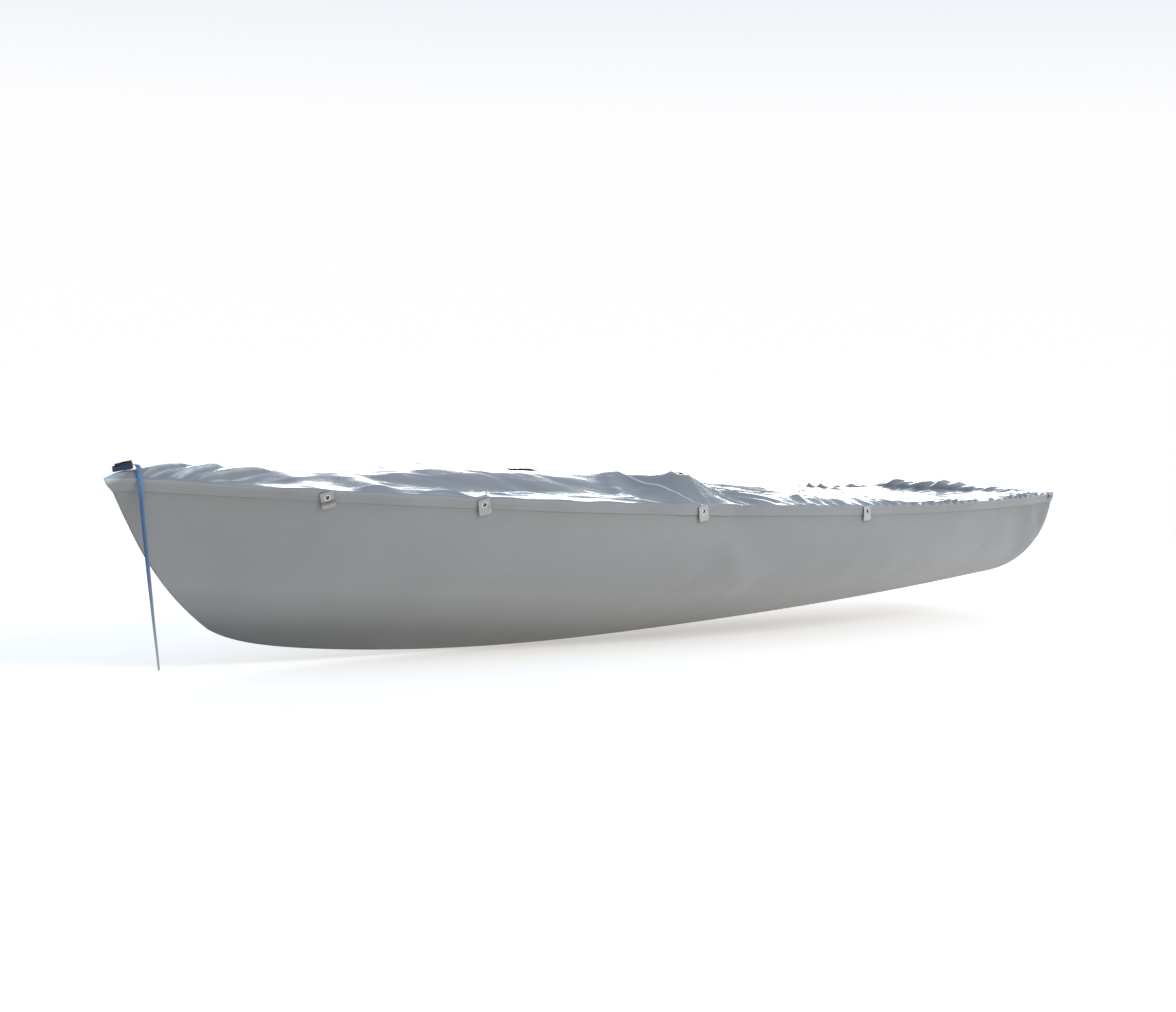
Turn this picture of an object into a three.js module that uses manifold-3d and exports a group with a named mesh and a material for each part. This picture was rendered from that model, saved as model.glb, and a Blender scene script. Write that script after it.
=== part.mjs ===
// A fitted boat cover as it lies in use, 6 m long and hollow: a coated deck cloth in two panels whose
// short skirt falls over the edge, and under the skirt a smooth cover of two side panels and a stern panel.
// Pale tabs with eyelets hang from the skirt, and a webbing strap is looped on the bow.
import * as THREE from "three";
import { mergeVertices } from "three/addons/utils/BufferGeometryUtils.js";
import Module from "manifold-3d";

const wasm = await Module();
wasm.setup();

// Turns rows of numbers into rows with named columns.
function table(columns, rows) {
  return rows.map((row) => Object.fromEntries(columns.map((column, i) => [column, row[i]])));
}

// Outline, in millimetres: x runs aft from the bow tip, y to starboard, z up from the edge amidships.
// A station is 0 at the bow and 1 at the stern; a drop is 0 at the edge and 1 at the keel line.
const LENGTH = 6050;
const HALF_BEAM = 890;
const STERN_HALF_BEAM = 600;
const WIDEST_STATION = 0.61;
const BOW_FULLNESS = 2.2;
const STEM_RAKE = 328;
const STEM_CURVE = 168;
const STEM_CURVE_POWER = 3.5;
const STERN_RAKE = 105;
const EDGE_HEIGHT = table(["at", "value"], [[0, 115], [0.5, 0], [1, 25]]);
const DEPTH = table(["at", "value"], [[0, 655], [1 / 3, 675], [2 / 3, 575], [1, 480]]);
const FOREFOOT_RISE = 50;
const FOREFOOT_REACH = 0.0254;
const BILGE_FALL = table(["at", "value"], [[0, 1.15], [0.5, 2.35], [1, 2.25]]);
const BILGE_SWELL = table(["at", "value"], [[0, 1], [0.5, 1.35], [1, 2.6]]);

// Cloth, seams and laps.
const CLOTH = 3;
const LAP_GAP = 3;
const SEAM_GAP = 0.6;
const SKIRT = 48;
const SKIRT_ROWS = [SKIRT, 16];
const HEM_FLARE = 5;
const FLARE_SPAN = 1200;
const NOSE_EASE = 3;
const NOSE_EASE_REACH = 60;
const NOSE_DROOP = 9;
const NOSE_DROOP_REACH = 55;
const SIDE_TOP = 20;
const STERN_LAP = 9;
const CROSS_SEAM_X = 2575;
const DECK_OUT = LAP_GAP + CLOTH;

// Where the deck cloth is carried from below: mid-length, on the centreline.
const REST_X = LENGTH / 2;

// Height of the deck cloth above the edge, along the centreline.
const CROWN = table(
  ["at", "value"],
  [
    [0, 4], [70, 28], [205, 46], [450, 59], [800, 73], [1130, 84], [1650, 98], [2290, 108], [2900, 112],
    [3300, 104], [3770, 80], [4105, 62], [4460, 24], [5200, -16], [5800, -10], [6050, 14],
  ],
);

// How the crown falls off from the centreline to the edge: shares of the half-width, and at each x the
// shares of the crown's height there.
const ACROSS = [0, 0.2, 0.4, 0.6, 0.78, 0.9, 1];
const CROWN_FALL = table(
  ["x", ...ACROSS],
  [
    [0, 1, 0.94, 0.8, 0.58, 0.35, 0.17, 0],
    [400, 1, 0.92, 0.74, 0.48, 0.27, 0.13, 0],
    [800, 1, 0.88, 0.68, 0.46, 0.26, 0.12, 0],
    [1200, 1, 0.91, 0.69, 0.39, 0.21, 0.1, 0],
    [1600, 1, 0.94, 0.7, 0.3, 0.16, 0.08, 0],
    [2000, 1, 0.93, 0.66, 0.28, 0.15, 0.08, 0],
    [2400, 1, 0.91, 0.62, 0.28, 0.15, 0.08, 0],
    [2900, 1, 0.88, 0.64, 0.4, 0.2, 0.1, 0],
    [3600, 1, 0.87, 0.65, 0.42, 0.21, 0.1, 0],
    [4300, 1, 0.9, 0.66, 0.36, 0.14, 0.05, 0],
    [6050, 1, 0.9, 0.66, 0.36, 0.14, 0.05, 0],
  ],
);

// Spots where the cloth is lifted to a small round top.
const PEAK_POWER = 1.7;
const PEAK_TOP = 42;
const PEAK_EDGE = 70;
const PEAKS = table(
  ["x", "y", "radius", "height"],
  [
    [2700, -600, 270, 102],
    [2700, 600, 270, 90],
    [1650, 40, 420, 34],
    [4460, 0, 330, 26],
  ],
);

// Main folds of the deck cloth, ridges above zero and troughs below it.
const FOLDS = table(
  ["x1", "y1", "x2", "y2", "width", "height"],
  [
    [176, -100, 640, 10, 48, 7],
    [280, -145, 930, -30, 55, 8],
    [360, -200, 930, -255, 60, -11],
    [660, -320, 1240, -345, 65, 12],
    [1050, -420, 2340, -740, 70, 10],
    [1150, -290, 2200, -480, 90, -8],
    [2270, -740, 2600, -220, 55, 13],
    [2575, -845, 2590, -430, 45, -14],
    [240, 130, 760, 20, 50, 7],
    [420, 215, 1050, 190, 60, -11],
    [820, 330, 2200, 690, 70, 10],
    [1250, 300, 2150, 450, 80, -8],
    [2320, 720, 2600, 240, 60, 12],
    [2690, -580, 2520, -180, 70, 34],
    [2780, -560, 3080, -870, 60, 11],
    [2930, -480, 3350, -870, 70, 10],
    [2950, -300, 3750, -640, 90, -16],
    [4400, -60, 3540, -860, 85, 15],
    [4420, -90, 4010, -870, 75, 14],
    [4480, -90, 4340, -850, 75, 13],
    [2690, 580, 2520, 180, 70, 30],
    [2800, 560, 3420, 840, 75, 12],
    [3050, 420, 3900, 610, 95, -15],
    [4420, 80, 3650, 840, 85, 14],
    [4500, 90, 4250, 840, 80, 13],
    [4750, -520, 5650, -330, 110, -12],
    [4700, 460, 5600, 300, 110, -11],
  ],
);

// Share of a fold's height that is left where it meets the edge.
const EDGE_FOLD_SHARE = 0.25;

// Short folds that each tab pulls into the deck cloth.
const TAB_FOLD_LENGTH = 360;
const TAB_FOLD_WIDTH = 52;
const TAB_FOLD_HEIGHT = 15;

// Gathers along the edge and the stern rim, fading inwards.
const GATHER_PITCH = 255;
const GATHER_DRIFT = 0.9;
const GATHER_REACH = 170;
const GATHER_HEIGHT = table(
  ["at", "value"],
  [[0, 0], [600, 4], [2400, 5], [3700, 8], [4600, 11], [6050, 10]],
);
const RIM_PITCH = 290;
const RIM_PHASE = 1;
const RIM_REACH = 150;
const RIM_HEIGHT = 11;

// Holes: one in the fore panel for a post on the centreline, two in the aft panel's peaks for wires.
const POST_HOLE = { x: 2290, y: 0, radius: 62 };
const WIRE_HOLES = [-1, 1].map((side) => ({ x: 2700, y: side * 600, radius: 16 }));
const HOLE_REACH = 400;

// Tabs sewn to the skirt, and a smaller patch at each stern corner; x is measured at the edge.
const TAB = { width: 56, height: 68, corner: 7, thickness: 3, drop: 38, eyeletUp: 10 };
const PATCH = { width: 38, height: 32, corner: 6, thickness: 3, drop: 18, eyeletUp: 0 };
const TAB_X = [778, 1432, 2575, 3757];
const PATCH_X = 5985;
const TAB_GAP = 1.5;
const TAB_HOLE = 10.6;

// Eyelets: a barrel through the tab and a rolled flange on its face.
const EYELET = { bore: 8, barrel: 9.6, flange: 14, roll: 1.3, crown: 1.9, gap: 0.3 };
const ROUND_STEPS = 12;
const CORNER_STEPS = 3;

// Bow strap: a loop of doubled webbing that leans with the nose, and a tail that hangs over the port edge.
const WEBBING = 20;
const WEBBING_THICKNESS = 2.4;
const LOOP = { x: 78, halfLength: 46, halfWidth: 30, bottom: 141, height: 28, tilt: -12, steps: 14 };
const TAIL = table(
  ["x", "y", "z", "facing", "tilt"],
  [
    [136, 8, 160, -110, 90],
    [133, -8, 160, -110, 86],
    [129, -24, 155, -112, 72],
    [122, -40, 145, -114, 58],
    [113, -54, 131, -115, 45],
    [108, -64, 116, -115, 28],
    [106, -70, 99, -114, 10],
    [107, -72, 80, -110, 0],
    [110, -74, 45, -104, 0],
    [117, -75, -35, -98, 0],
    [127, -79, -130, -92, 0],
    [138, -83, -235, -87, 0],
    [150, -88, -345, -82, 0],
    [162, -92, -450, -77, 0],
    [174, -97, -550, -73, 0],
    [182, -100, -622, -70, 0],
  ],
);

// Mesh steps.
const FORE_RINGS = 30;
const AFT_RINGS = 38;
const END_CROWDING = 1.15;
const DECK_COLUMNS = [0, 0.14, 0.28, 0.42, 0.56, 0.7, 0.82, 0.92, 1];
const SIDE_STATIONS = 30;
const SIDE_ROWS = 11;
const NUDGE = 0.004;

const clamp = THREE.MathUtils.clamp;

// The polynomial through a table's rows.
function through(rows, at) {
  let sum = 0;
  for (const row of rows) {
    let term = row.value;
    for (const other of rows) {
      if (other !== row) term *= (at - other.at) / (row.at - other.at);
    }
    sum += term;
  }
  return sum;
}

// A smooth curve that passes each row of a long table and stays between near rows.
function along(rows, at) {
  const last = rows.length - 1;
  const k = clamp(rows.findLastIndex((row) => row.at <= at), 0, last - 1);
  const [a, b] = [rows[k], rows[k + 1]];
  const span = b.at - a.at;
  const t = clamp((at - a.at) / span, 0, 1);
  const before = rows[Math.max(k - 1, 0)];
  const after = rows[Math.min(k + 2, last)];
  const slopeA = ((b.value - before.value) / (b.at - before.at)) * span;
  const slopeB = ((after.value - a.value) / (after.at - a.at)) * span;
  const rise = t * t * (3 - 2 * t);
  return a.value + (b.value - a.value) * rise + t * (1 - t) * ((1 - t) * slopeA - t * slopeB);
}

// Depth from the edge to the keel line, which turns up where it meets the stem.
function depthAt(station) {
  return through(DEPTH, station) - FOREFOOT_RISE * Math.exp(-station / FOREFOOT_REACH);
}

function halfBeam(station) {
  if (station < WIDEST_STATION) {
    return HALF_BEAM * (1 - (1 - station / WIDEST_STATION) ** BOW_FULLNESS);
  }
  const astern = (station - WIDEST_STATION) / (1 - WIDEST_STATION);
  return HALF_BEAM - (HALF_BEAM - STERN_HALF_BEAM) * astern ** 2;
}

// A point of the side panels' outer face; side is -1 to port and 1 to starboard.
function sidePoint(station, drop, side) {
  const stem = STEM_RAKE * drop + STEM_CURVE * drop ** STEM_CURVE_POWER;
  const stern = LENGTH - STERN_RAKE * drop;
  const swell = (1 - drop ** through(BILGE_FALL, station)) ** (1 / through(BILGE_SWELL, station));
  return new THREE.Vector3(
    stem + station * (stern - stem),
    side * halfBeam(station) * swell,
    through(EDGE_HEIGHT, station) - depthAt(station) * drop,
  );
}

// Local axes on the side: aft along it, up along it, and out of it.
function sideAxes(station, drop, side) {
  const s = clamp(station, NUDGE, 1 - NUDGE);
  const d = clamp(drop, NUDGE, 1 - NUDGE);
  const aft = sidePoint(s + NUDGE, d, side).sub(sidePoint(s - NUDGE, d, side)).normalize();
  const down = sidePoint(s, d + NUDGE, side).sub(sidePoint(s, d - NUDGE, side)).normalize();
  const out = aft.clone().cross(down).multiplyScalar(side).normalize();
  const up = down.addScaledVector(out, -down.dot(out)).negate().normalize();
  return { aft: up.clone().cross(out), up, out };
}

// Height that a peak or a fold adds to the deck cloth at a point.
function peakHeight(peak, x, y) {
  const reach = (Math.hypot(x - peak.x, y - peak.y) - PEAK_TOP) / (peak.radius - PEAK_TOP);
  return peak.height * (1 - clamp(reach, 0, 1)) ** PEAK_POWER;
}

function foldHeight(fold, x, y) {
  const dx = fold.x2 - fold.x1;
  const dy = fold.y2 - fold.y1;
  const length = Math.hypot(dx, dy);
  const run = ((x - fold.x1) * dx + (y - fold.y1) * dy) / length ** 2;
  if (run <= 0 || run >= 1) return 0;
  const across = ((y - fold.y1) * dx - (x - fold.x1) * dy) / length;
  return fold.height * Math.sin(Math.PI * run) * Math.exp(-((across / fold.width) ** 2));
}

function tabFolds() {
  const folds = [];
  for (const x of TAB_X) {
    for (const side of [-1, 1]) {
      const edge = side * halfBeam(x / LENGTH);
      const inner = edge - side * Math.min(TAB_FOLD_LENGTH, Math.abs(edge));
      folds.push({ x1: x, y1: edge, x2: x, y2: inner, width: TAB_FOLD_WIDTH, height: TAB_FOLD_HEIGHT });
    }
  }
  return folds;
}

const ALL_FOLDS = [...FOLDS, ...tabFolds()];

// The crown's share of its height at a point that lies this far across.
function crownFall(x, acrossShare) {
  const k = clamp(CROWN_FALL.findLastIndex((row) => row.x <= x), 0, CROWN_FALL.length - 2);
  const [fore, aft] = [CROWN_FALL[k], CROWN_FALL[k + 1]];
  const [foreShare, aftShare] = [fore, aft].map((row) => {
    const curve = ACROSS.map((at) => ({ at, value: row[at] }));
    return along(curve, Math.abs(acrossShare));
  });
  return THREE.MathUtils.lerp(foreShare, aftShare, THREE.MathUtils.smoothstep(x, fore.x, aft.x));
}

// Height of the deck cloth above the edge at a point that lies this far across, from -1 to 1.
function deckHeight(x, y, acrossShare, fromEdge) {
  const bell = crownFall(x, acrossShare);
  const calm = Math.min(1, EDGE_FOLD_SHARE + fromEdge / SKIRT);
  let height = along(CROWN, x) * bell;
  for (const peak of PEAKS) height += Math.min(1, fromEdge / PEAK_EDGE) * peakHeight(peak, x, y);
  for (const fold of ALL_FOLDS) height += calm * foldHeight(fold, x, y);
  const drift = GATHER_DRIFT * Math.sin((x + y) / GATHER_PITCH);
  const wave = Math.cos((2 * Math.PI * x) / GATHER_PITCH + drift);
  height += along(GATHER_HEIGHT, x) * wave * Math.exp(-fromEdge / GATHER_REACH);
  const rim = Math.exp(-Math.max(LENGTH - x, 0) / RIM_REACH);
  return height + RIM_HEIGHT * rim * Math.sin((2 * Math.PI * y) / RIM_PITCH + RIM_PHASE) * bell;
}

// How far the hem stands off between the tabs, which hold it in.
function hemFlare(x) {
  const held = [0, ...TAB_X, PATCH_X, LENGTH];
  const k = clamp(held.findLastIndex((at) => at <= x), 0, held.length - 2);
  const span = held[k + 1] - held[k];
  const share = clamp((x - held[k]) / span, 0, 1);
  return HEM_FLARE * (span / FLARE_SPAN) * Math.sin(Math.PI * share) ** 2;
}

// One ring of the deck cloth from the port hem over the deck to the starboard hem, inset from its outer face.
function deckRing(x, inset) {
  const station = clamp(x / LENGTH, 0, 1);
  const astern = Math.max(x - LENGTH, 0);
  const ease = NOSE_EASE * Math.exp(-x / NOSE_EASE_REACH);
  const droop = NOSE_DROOP * Math.exp(-x / NOSE_DROOP_REACH);
  const depth = depthAt(station);

  const skirtPoint = (fall, side) => {
    const drop = fall / depth;
    const flare = (hemFlare(x) * fall) / SKIRT;
    const point = sidePoint(station, drop, side);
    point.addScaledVector(sideAxes(station, drop, side).out, DECK_OUT + ease + flare - inset);
    point.x += astern;
    point.z -= droop;
    return point;
  };
  const skirt = (side) => SKIRT_ROWS.map((fall) => skirtPoint(fall, side));

  const edge = skirtPoint(0, 1);
  const deck = [];
  const shares = [...DECK_COLUMNS.slice(1).reverse().map((share) => -share), ...DECK_COLUMNS];
  for (const share of shares) {
    const y = share * edge.y;
    const height = deckHeight(x, y, share, edge.y - Math.abs(y));
    deck.push(new THREE.Vector3(edge.x, y, through(EDGE_HEIGHT, station) + height - droop - inset));
  }
  return [...skirt(-1), ...deck, ...skirt(1).reverse()];
}

// An indexed geometry, turned so that its faces point out.
function closedGeometry(points, triangles) {
  let volume = 0;
  for (const [a, b, c] of triangles) {
    volume += points[a].dot(points[b].clone().cross(points[c]));
  }
  const faces = volume < 0 ? triangles.map(([a, b, c]) => [a, c, b]) : triangles;
  return new THREE.BufferGeometry().setFromPoints(points).setIndex(faces.flat());
}

// A hood of cloth: an outer and an inner skin through rings of equal length, closed across the first ring
// and open at the last ring and all along the hem.
function hood(outer, inner) {
  const rings = outer.length;
  const count = outer[0].length;
  const half = rings * count;
  const triangles = [];
  const quad = (a, b, c, d) => triangles.push([a, b, c], [a, c, d]);
  const both = (a, b, c) => triangles.push([a, b, c], [half + a, half + c, half + b]);
  for (let i = 0; i + 1 < rings; i++) {
    for (let j = 0; j + 1 < count; j++) {
      const [a, b] = [i * count + j, i * count + j + 1];
      both(a, b, b + count);
      both(a, b + count, a + count);
    }
  }
  for (let j = 0; j < (count - 1) / 2; j++) {
    const mirrored = count - 1 - j;
    both(j, mirrored, j + 1);
    if (mirrored - 1 > j + 1) both(j + 1, mirrored, mirrored - 1);
  }
  const rim = [];
  for (let i = 0; i + 1 < rings; i++) rim.push(i * count);
  for (let j = 0; j + 1 < count; j++) rim.push((rings - 1) * count + j);
  for (let i = rings - 1; i >= 0; i--) rim.push(i * count + count - 1);
  rim.forEach((a, k) => {
    const b = rim[(k + 1) % rim.length];
    quad(a, b, half + b, half + a);
  });
  return closedGeometry([...outer.flat(), ...inner.flat()], triangles);
}

// A sheet between two grids of points of equal size.
function sheet(outer, inner) {
  const rows = outer.length;
  const columns = outer[0].length;
  const half = rows * columns;
  const triangles = [];
  const quad = (a, b, c, d) => triangles.push([a, b, c], [a, c, d]);
  const at = (i, j) => i * columns + j;
  for (let i = 0; i + 1 < rows; i++) {
    for (let j = 0; j + 1 < columns; j++) {
      quad(at(i, j), at(i, j + 1), at(i + 1, j + 1), at(i + 1, j));
      quad(half + at(i, j), half + at(i + 1, j), half + at(i + 1, j + 1), half + at(i, j + 1));
    }
  }
  const rim = [];
  for (let j = 0; j + 1 < columns; j++) rim.push(at(0, j));
  for (let i = 0; i + 1 < rows; i++) rim.push(at(i, columns - 1));
  for (let j = columns - 1; j > 0; j--) rim.push(at(rows - 1, j));
  for (let i = rows - 1; i > 0; i--) rim.push(at(i, 0));
  rim.forEach((a, k) => {
    const b = rim[(k + 1) % rim.length];
    quad(a, half + a, half + b, b);
  });
  return closedGeometry([...outer.flat(), ...inner.flat()], triangles);
}

function toSolid(geometry) {
  const bare = geometry.clone();
  bare.deleteAttribute("normal");
  bare.deleteAttribute("uv");
  const merged = mergeVertices(bare);
  return new wasm.Manifold(
    new wasm.Mesh({
      numProp: 3,
      vertProperties: merged.attributes.position.array,
      triVerts: new Uint32Array(merged.index.array),
    }),
  );
}

// A geometry with other geometries cut out of it.
function cut(geometry, tools) {
  let left = toSolid(geometry);
  for (const tool of tools) left = left.subtract(toSolid(tool));
  const mesh = left.getMesh();
  const made = new THREE.BufferGeometry();
  made.setAttribute("position", new THREE.BufferAttribute(mesh.vertProperties, mesh.numProp));
  return made.setIndex(new THREE.BufferAttribute(mesh.triVerts, 1));
}

function holeTool(hole) {
  const tool = new THREE.CylinderGeometry(hole.radius, hole.radius, HOLE_REACH, 2 * ROUND_STEPS);
  return tool.rotateX(Math.PI / 2).translate(hole.x, hole.y, HOLE_REACH / 2);
}

// A deck panel from its closed end at the bow or the stern to its open end at the cross seam.
function deckPanel(closedEnd, openEnd, ringCount) {
  const places = [];
  for (let i = 0; i < ringCount; i++) {
    places.push(closedEnd + (openEnd - closedEnd) * (i / (ringCount - 1)) ** END_CROWDING);
  }
  const inward = CLOTH * Math.sign(openEnd - closedEnd);
  const innerPlaces = [closedEnd + inward, ...places.slice(1)];
  return hood(
    places.map((x) => deckRing(x, 0)),
    innerPlaces.map((x) => deckRing(x, CLOTH)),
  );
}

function sidePanel(side) {
  const grid = (inset) => {
    const rows = [];
    for (let i = 0; i <= SIDE_STATIONS; i++) {
      const station = (i / SIDE_STATIONS) ** END_CROWDING;
      const top = Math.asin(SIDE_TOP / depthAt(station));
      const row = [];
      for (let j = 0; j <= SIDE_ROWS; j++) {
        const drop = Math.sin(top + (Math.PI / 2 - top) * (j / SIDE_ROWS));
        const point = sidePoint(station, drop, side);
        point.addScaledVector(sideAxes(station, drop, side).out, -inset);
        point.y = side * Math.max(side * point.y, SEAM_GAP / 2);
        row.push(point);
      }
      rows.push(row);
    }
    return rows;
  };
  return sheet(grid(0), grid(CLOTH));
}

// The flat stern panel, cut to the last section and leaning with the stern.
function sternPanel() {
  const depth = depthAt(1);
  const slope = Math.atan2(STERN_RAKE, depth);
  const outline = [];
  for (const side of [-1, 1]) {
    const half = [];
    for (let j = 0; j <= SIDE_ROWS; j++) {
      const top = Math.asin(SIDE_TOP / depth);
      const drop = Math.sin(top + (Math.PI / 2 - top) * (j / SIDE_ROWS));
      const point = sidePoint(1, drop, side);
      half.push(new THREE.Vector2(point.y, (-drop * depth) / Math.cos(slope)));
    }
    outline.push(...(side < 0 ? half : half.reverse().slice(1)));
  }
  const panel = new THREE.ExtrudeGeometry(new THREE.Shape(outline), { depth: CLOTH, bevelEnabled: false });
  panel.rotateX(Math.PI / 2);
  panel.rotateZ(Math.PI / 2);
  panel.rotateY(slope);
  return panel.translate(LENGTH + SEAM_GAP, 0, through(EDGE_HEIGHT, 1));
}

// A flat tab with rounded corners and a round hole, its back on z = 0.
function tabGeometry(size) {
  const { width, height, corner, thickness, eyeletUp } = size;
  const right = width / 2;
  const top = height / 2;
  const shape = new THREE.Shape();
  shape.moveTo(corner - right, -top);
  shape.lineTo(right - corner, -top);
  shape.quadraticCurveTo(right, -top, right, corner - top);
  shape.lineTo(right, top - corner);
  shape.quadraticCurveTo(right, top, right - corner, top);
  shape.lineTo(corner - right, top);
  shape.quadraticCurveTo(-right, top, -right, top - corner);
  shape.lineTo(-right, corner - top);
  shape.quadraticCurveTo(-right, -top, corner - right, -top);
  const rim = [];
  for (let k = 0; k < ROUND_STEPS; k++) {
    const turn = (-2 * Math.PI * k) / ROUND_STEPS;
    rim.push(new THREE.Vector2(TAB_HOLE * Math.cos(turn), eyeletUp + TAB_HOLE * Math.sin(turn)));
  }
  shape.holes.push(new THREE.Path(rim));
  const plain = { depth: thickness, bevelEnabled: false, curveSegments: CORNER_STEPS };
  return new THREE.ExtrudeGeometry(shape, plain);
}

// An eyelet on the z axis, whose flange sits on a tab of this thickness with its back on z = 0.
function eyeletGeometry(thickness) {
  const face = thickness + EYELET.gap;
  const profile = [
    [EYELET.bore, EYELET.gap],
    [EYELET.barrel, EYELET.gap],
    [EYELET.barrel, face],
    [EYELET.flange, face],
    [EYELET.flange - EYELET.roll, face + EYELET.crown],
    [EYELET.bore + EYELET.roll, face + EYELET.crown],
    [EYELET.bore, face],
    [EYELET.bore, EYELET.gap],
  ].map(([radius, height]) => new THREE.Vector2(radius, height));
  return new THREE.LatheGeometry(profile, ROUND_STEPS).rotateX(Math.PI / 2);
}

// A flat strap through a table of places; facing and tilt turn its face, in degrees.
function strapGeometry(route) {
  const place = route.map((row) => new THREE.Vector3(row.x, row.y, row.z));
  const rings = route.map((row, i) => {
    const before = place[Math.max(i - 1, 0)];
    const after = place[Math.min(i + 1, place.length - 1)];
    const run = after.clone().sub(before).normalize();
    const [facing, tilt] = [row.facing, row.tilt].map(THREE.MathUtils.degToRad);
    const face = new THREE.Vector3(
      Math.cos(facing) * Math.cos(tilt),
      Math.sin(facing) * Math.cos(tilt),
      Math.sin(tilt),
    );
    const wide = run.clone().cross(face).normalize();
    const thick = wide.clone().cross(run);
    const corner = (u, v) =>
      place[i]
        .clone()
        .addScaledVector(wide, (u * WEBBING) / 2)
        .addScaledVector(thick, (v * WEBBING_THICKNESS) / 2);
    return [corner(-1, -1), corner(-1, 1), corner(1, 1), corner(1, -1)];
  });
  const corners = rings[0].length;
  const triangles = [];
  const quad = (a, b, c, d) => triangles.push([a, b, c], [a, c, d]);
  for (let i = 0; i + 1 < rings.length; i++) {
    const first = corners * i;
    for (let j = 0; j < corners; j++) {
      const next = (j + 1) % corners;
      quad(first + j, first + next, first + corners + next, first + corners + j);
    }
  }
  const end = corners * (rings.length - 1);
  quad(3, 2, 1, 0);
  quad(end, end + 1, end + 2, end + 3);
  return closedGeometry(rings.flat(), triangles);
}

function loopGeometry() {
  const outline = new THREE.Shape().absellipse(0, 0, LOOP.halfLength, LOOP.halfWidth, 0, 2 * Math.PI);
  const inside = new THREE.Path().absellipse(
    0,
    0,
    LOOP.halfLength - WEBBING_THICKNESS,
    LOOP.halfWidth - WEBBING_THICKNESS,
    0,
    2 * Math.PI,
    true,
  );
  outline.holes.push(inside);
  const plain = { depth: LOOP.height, bevelEnabled: false, curveSegments: LOOP.steps };
  return new THREE.ExtrudeGeometry(outline, plain);
}

const COATED = new THREE.MeshStandardMaterial({ color: 0x9aa3ad, roughness: 0.3, metalness: 0 });
const SATIN = new THREE.MeshStandardMaterial({ color: 0x8b8e91, roughness: 0.6, metalness: 0 });
const PALE = new THREE.MeshStandardMaterial({ color: 0xc9c6bb, roughness: 0.7, metalness: 0 });
const METAL = new THREE.MeshStandardMaterial({ color: 0xb9bbbd, roughness: 0.35, metalness: 0.9 });
const BLUE = new THREE.MeshStandardMaterial({ color: 0x1f4f8f, roughness: 0.6, metalness: 0 });

const cover = new THREE.Group();
cover.name = "boat_cover";

// The outline's frame hangs in the cover so that the cloth's underside at the resting place is the origin.
const outlineFrame = new THREE.Group();
const restHeight = through(EDGE_HEIGHT, REST_X / LENGTH) + deckHeight(REST_X, 0, 0, HALF_BEAM) - CLOTH;
outlineFrame.position.set(-REST_X, 0, -restHeight);
cover.add(outlineFrame);

function add(name, geometry, material, parent = outlineFrame) {
  const mesh = new THREE.Mesh(geometry, material);
  mesh.name = name;
  parent.add(mesh);
  return mesh;
}

// A tab and its eyelet, laid on the skirt.
function addTab(side, x, size, tabName, eyeletName) {
  const station = x / LENGTH;
  const drop = size.drop / depthAt(station);
  const { aft, up, out } = sideAxes(station, drop, side);
  const holder = new THREE.Group();
  const place = sidePoint(station, drop, side).addScaledVector(out, DECK_OUT + TAB_GAP);
  holder.applyMatrix4(new THREE.Matrix4().makeBasis(aft, up, out).setPosition(place));
  outlineFrame.add(holder);
  add(tabName, tabGeometry(size), PALE, holder);
  const eyelet = add(eyeletName, eyeletGeometry(size.thickness), METAL, holder);
  eyelet.position.y = size.eyeletUp;
}

const forePanel = deckPanel(0, CROSS_SEAM_X, FORE_RINGS);
const aftPanel = deckPanel(LENGTH + STERN_LAP, CROSS_SEAM_X + SEAM_GAP, AFT_RINGS);
add("deck_fore", cut(forePanel, [holeTool(POST_HOLE)]), COATED);
add("deck_aft", cut(aftPanel, WIRE_HOLES.map(holeTool)), COATED);
add("stern_panel", sternPanel(), SATIN);
for (const [side, sideName] of [[-1, "port"], [1, "starboard"]]) {
  add(`side_${sideName}`, sidePanel(side), SATIN);
  TAB_X.forEach((x, i) => {
    addTab(side, x, TAB, `tab_${sideName}_${i + 1}`, `eyelet_${sideName}_${i + 1}`);
  });
  addTab(side, PATCH_X, PATCH, `patch_${sideName}`, `eyelet_${sideName}_stern`);
}
const loop = add("strap_loop", loopGeometry(), BLUE);
loop.position.set(LOOP.x, 0, LOOP.bottom);
loop.rotation.y = THREE.MathUtils.degToRad(LOOP.tilt);
add("strap_tail", strapGeometry(TAIL), BLUE);

export default cover;
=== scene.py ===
# A fitted boat cover as it lies in use: a glossy wrinkled deck cloth in two panels, a smooth side cover
# under its skirt, pale eyelet tabs along the edge and a blue webbing strap on the bow.
import math

import bpy
import numpy as np
from mathutils import Matrix, Vector


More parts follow.
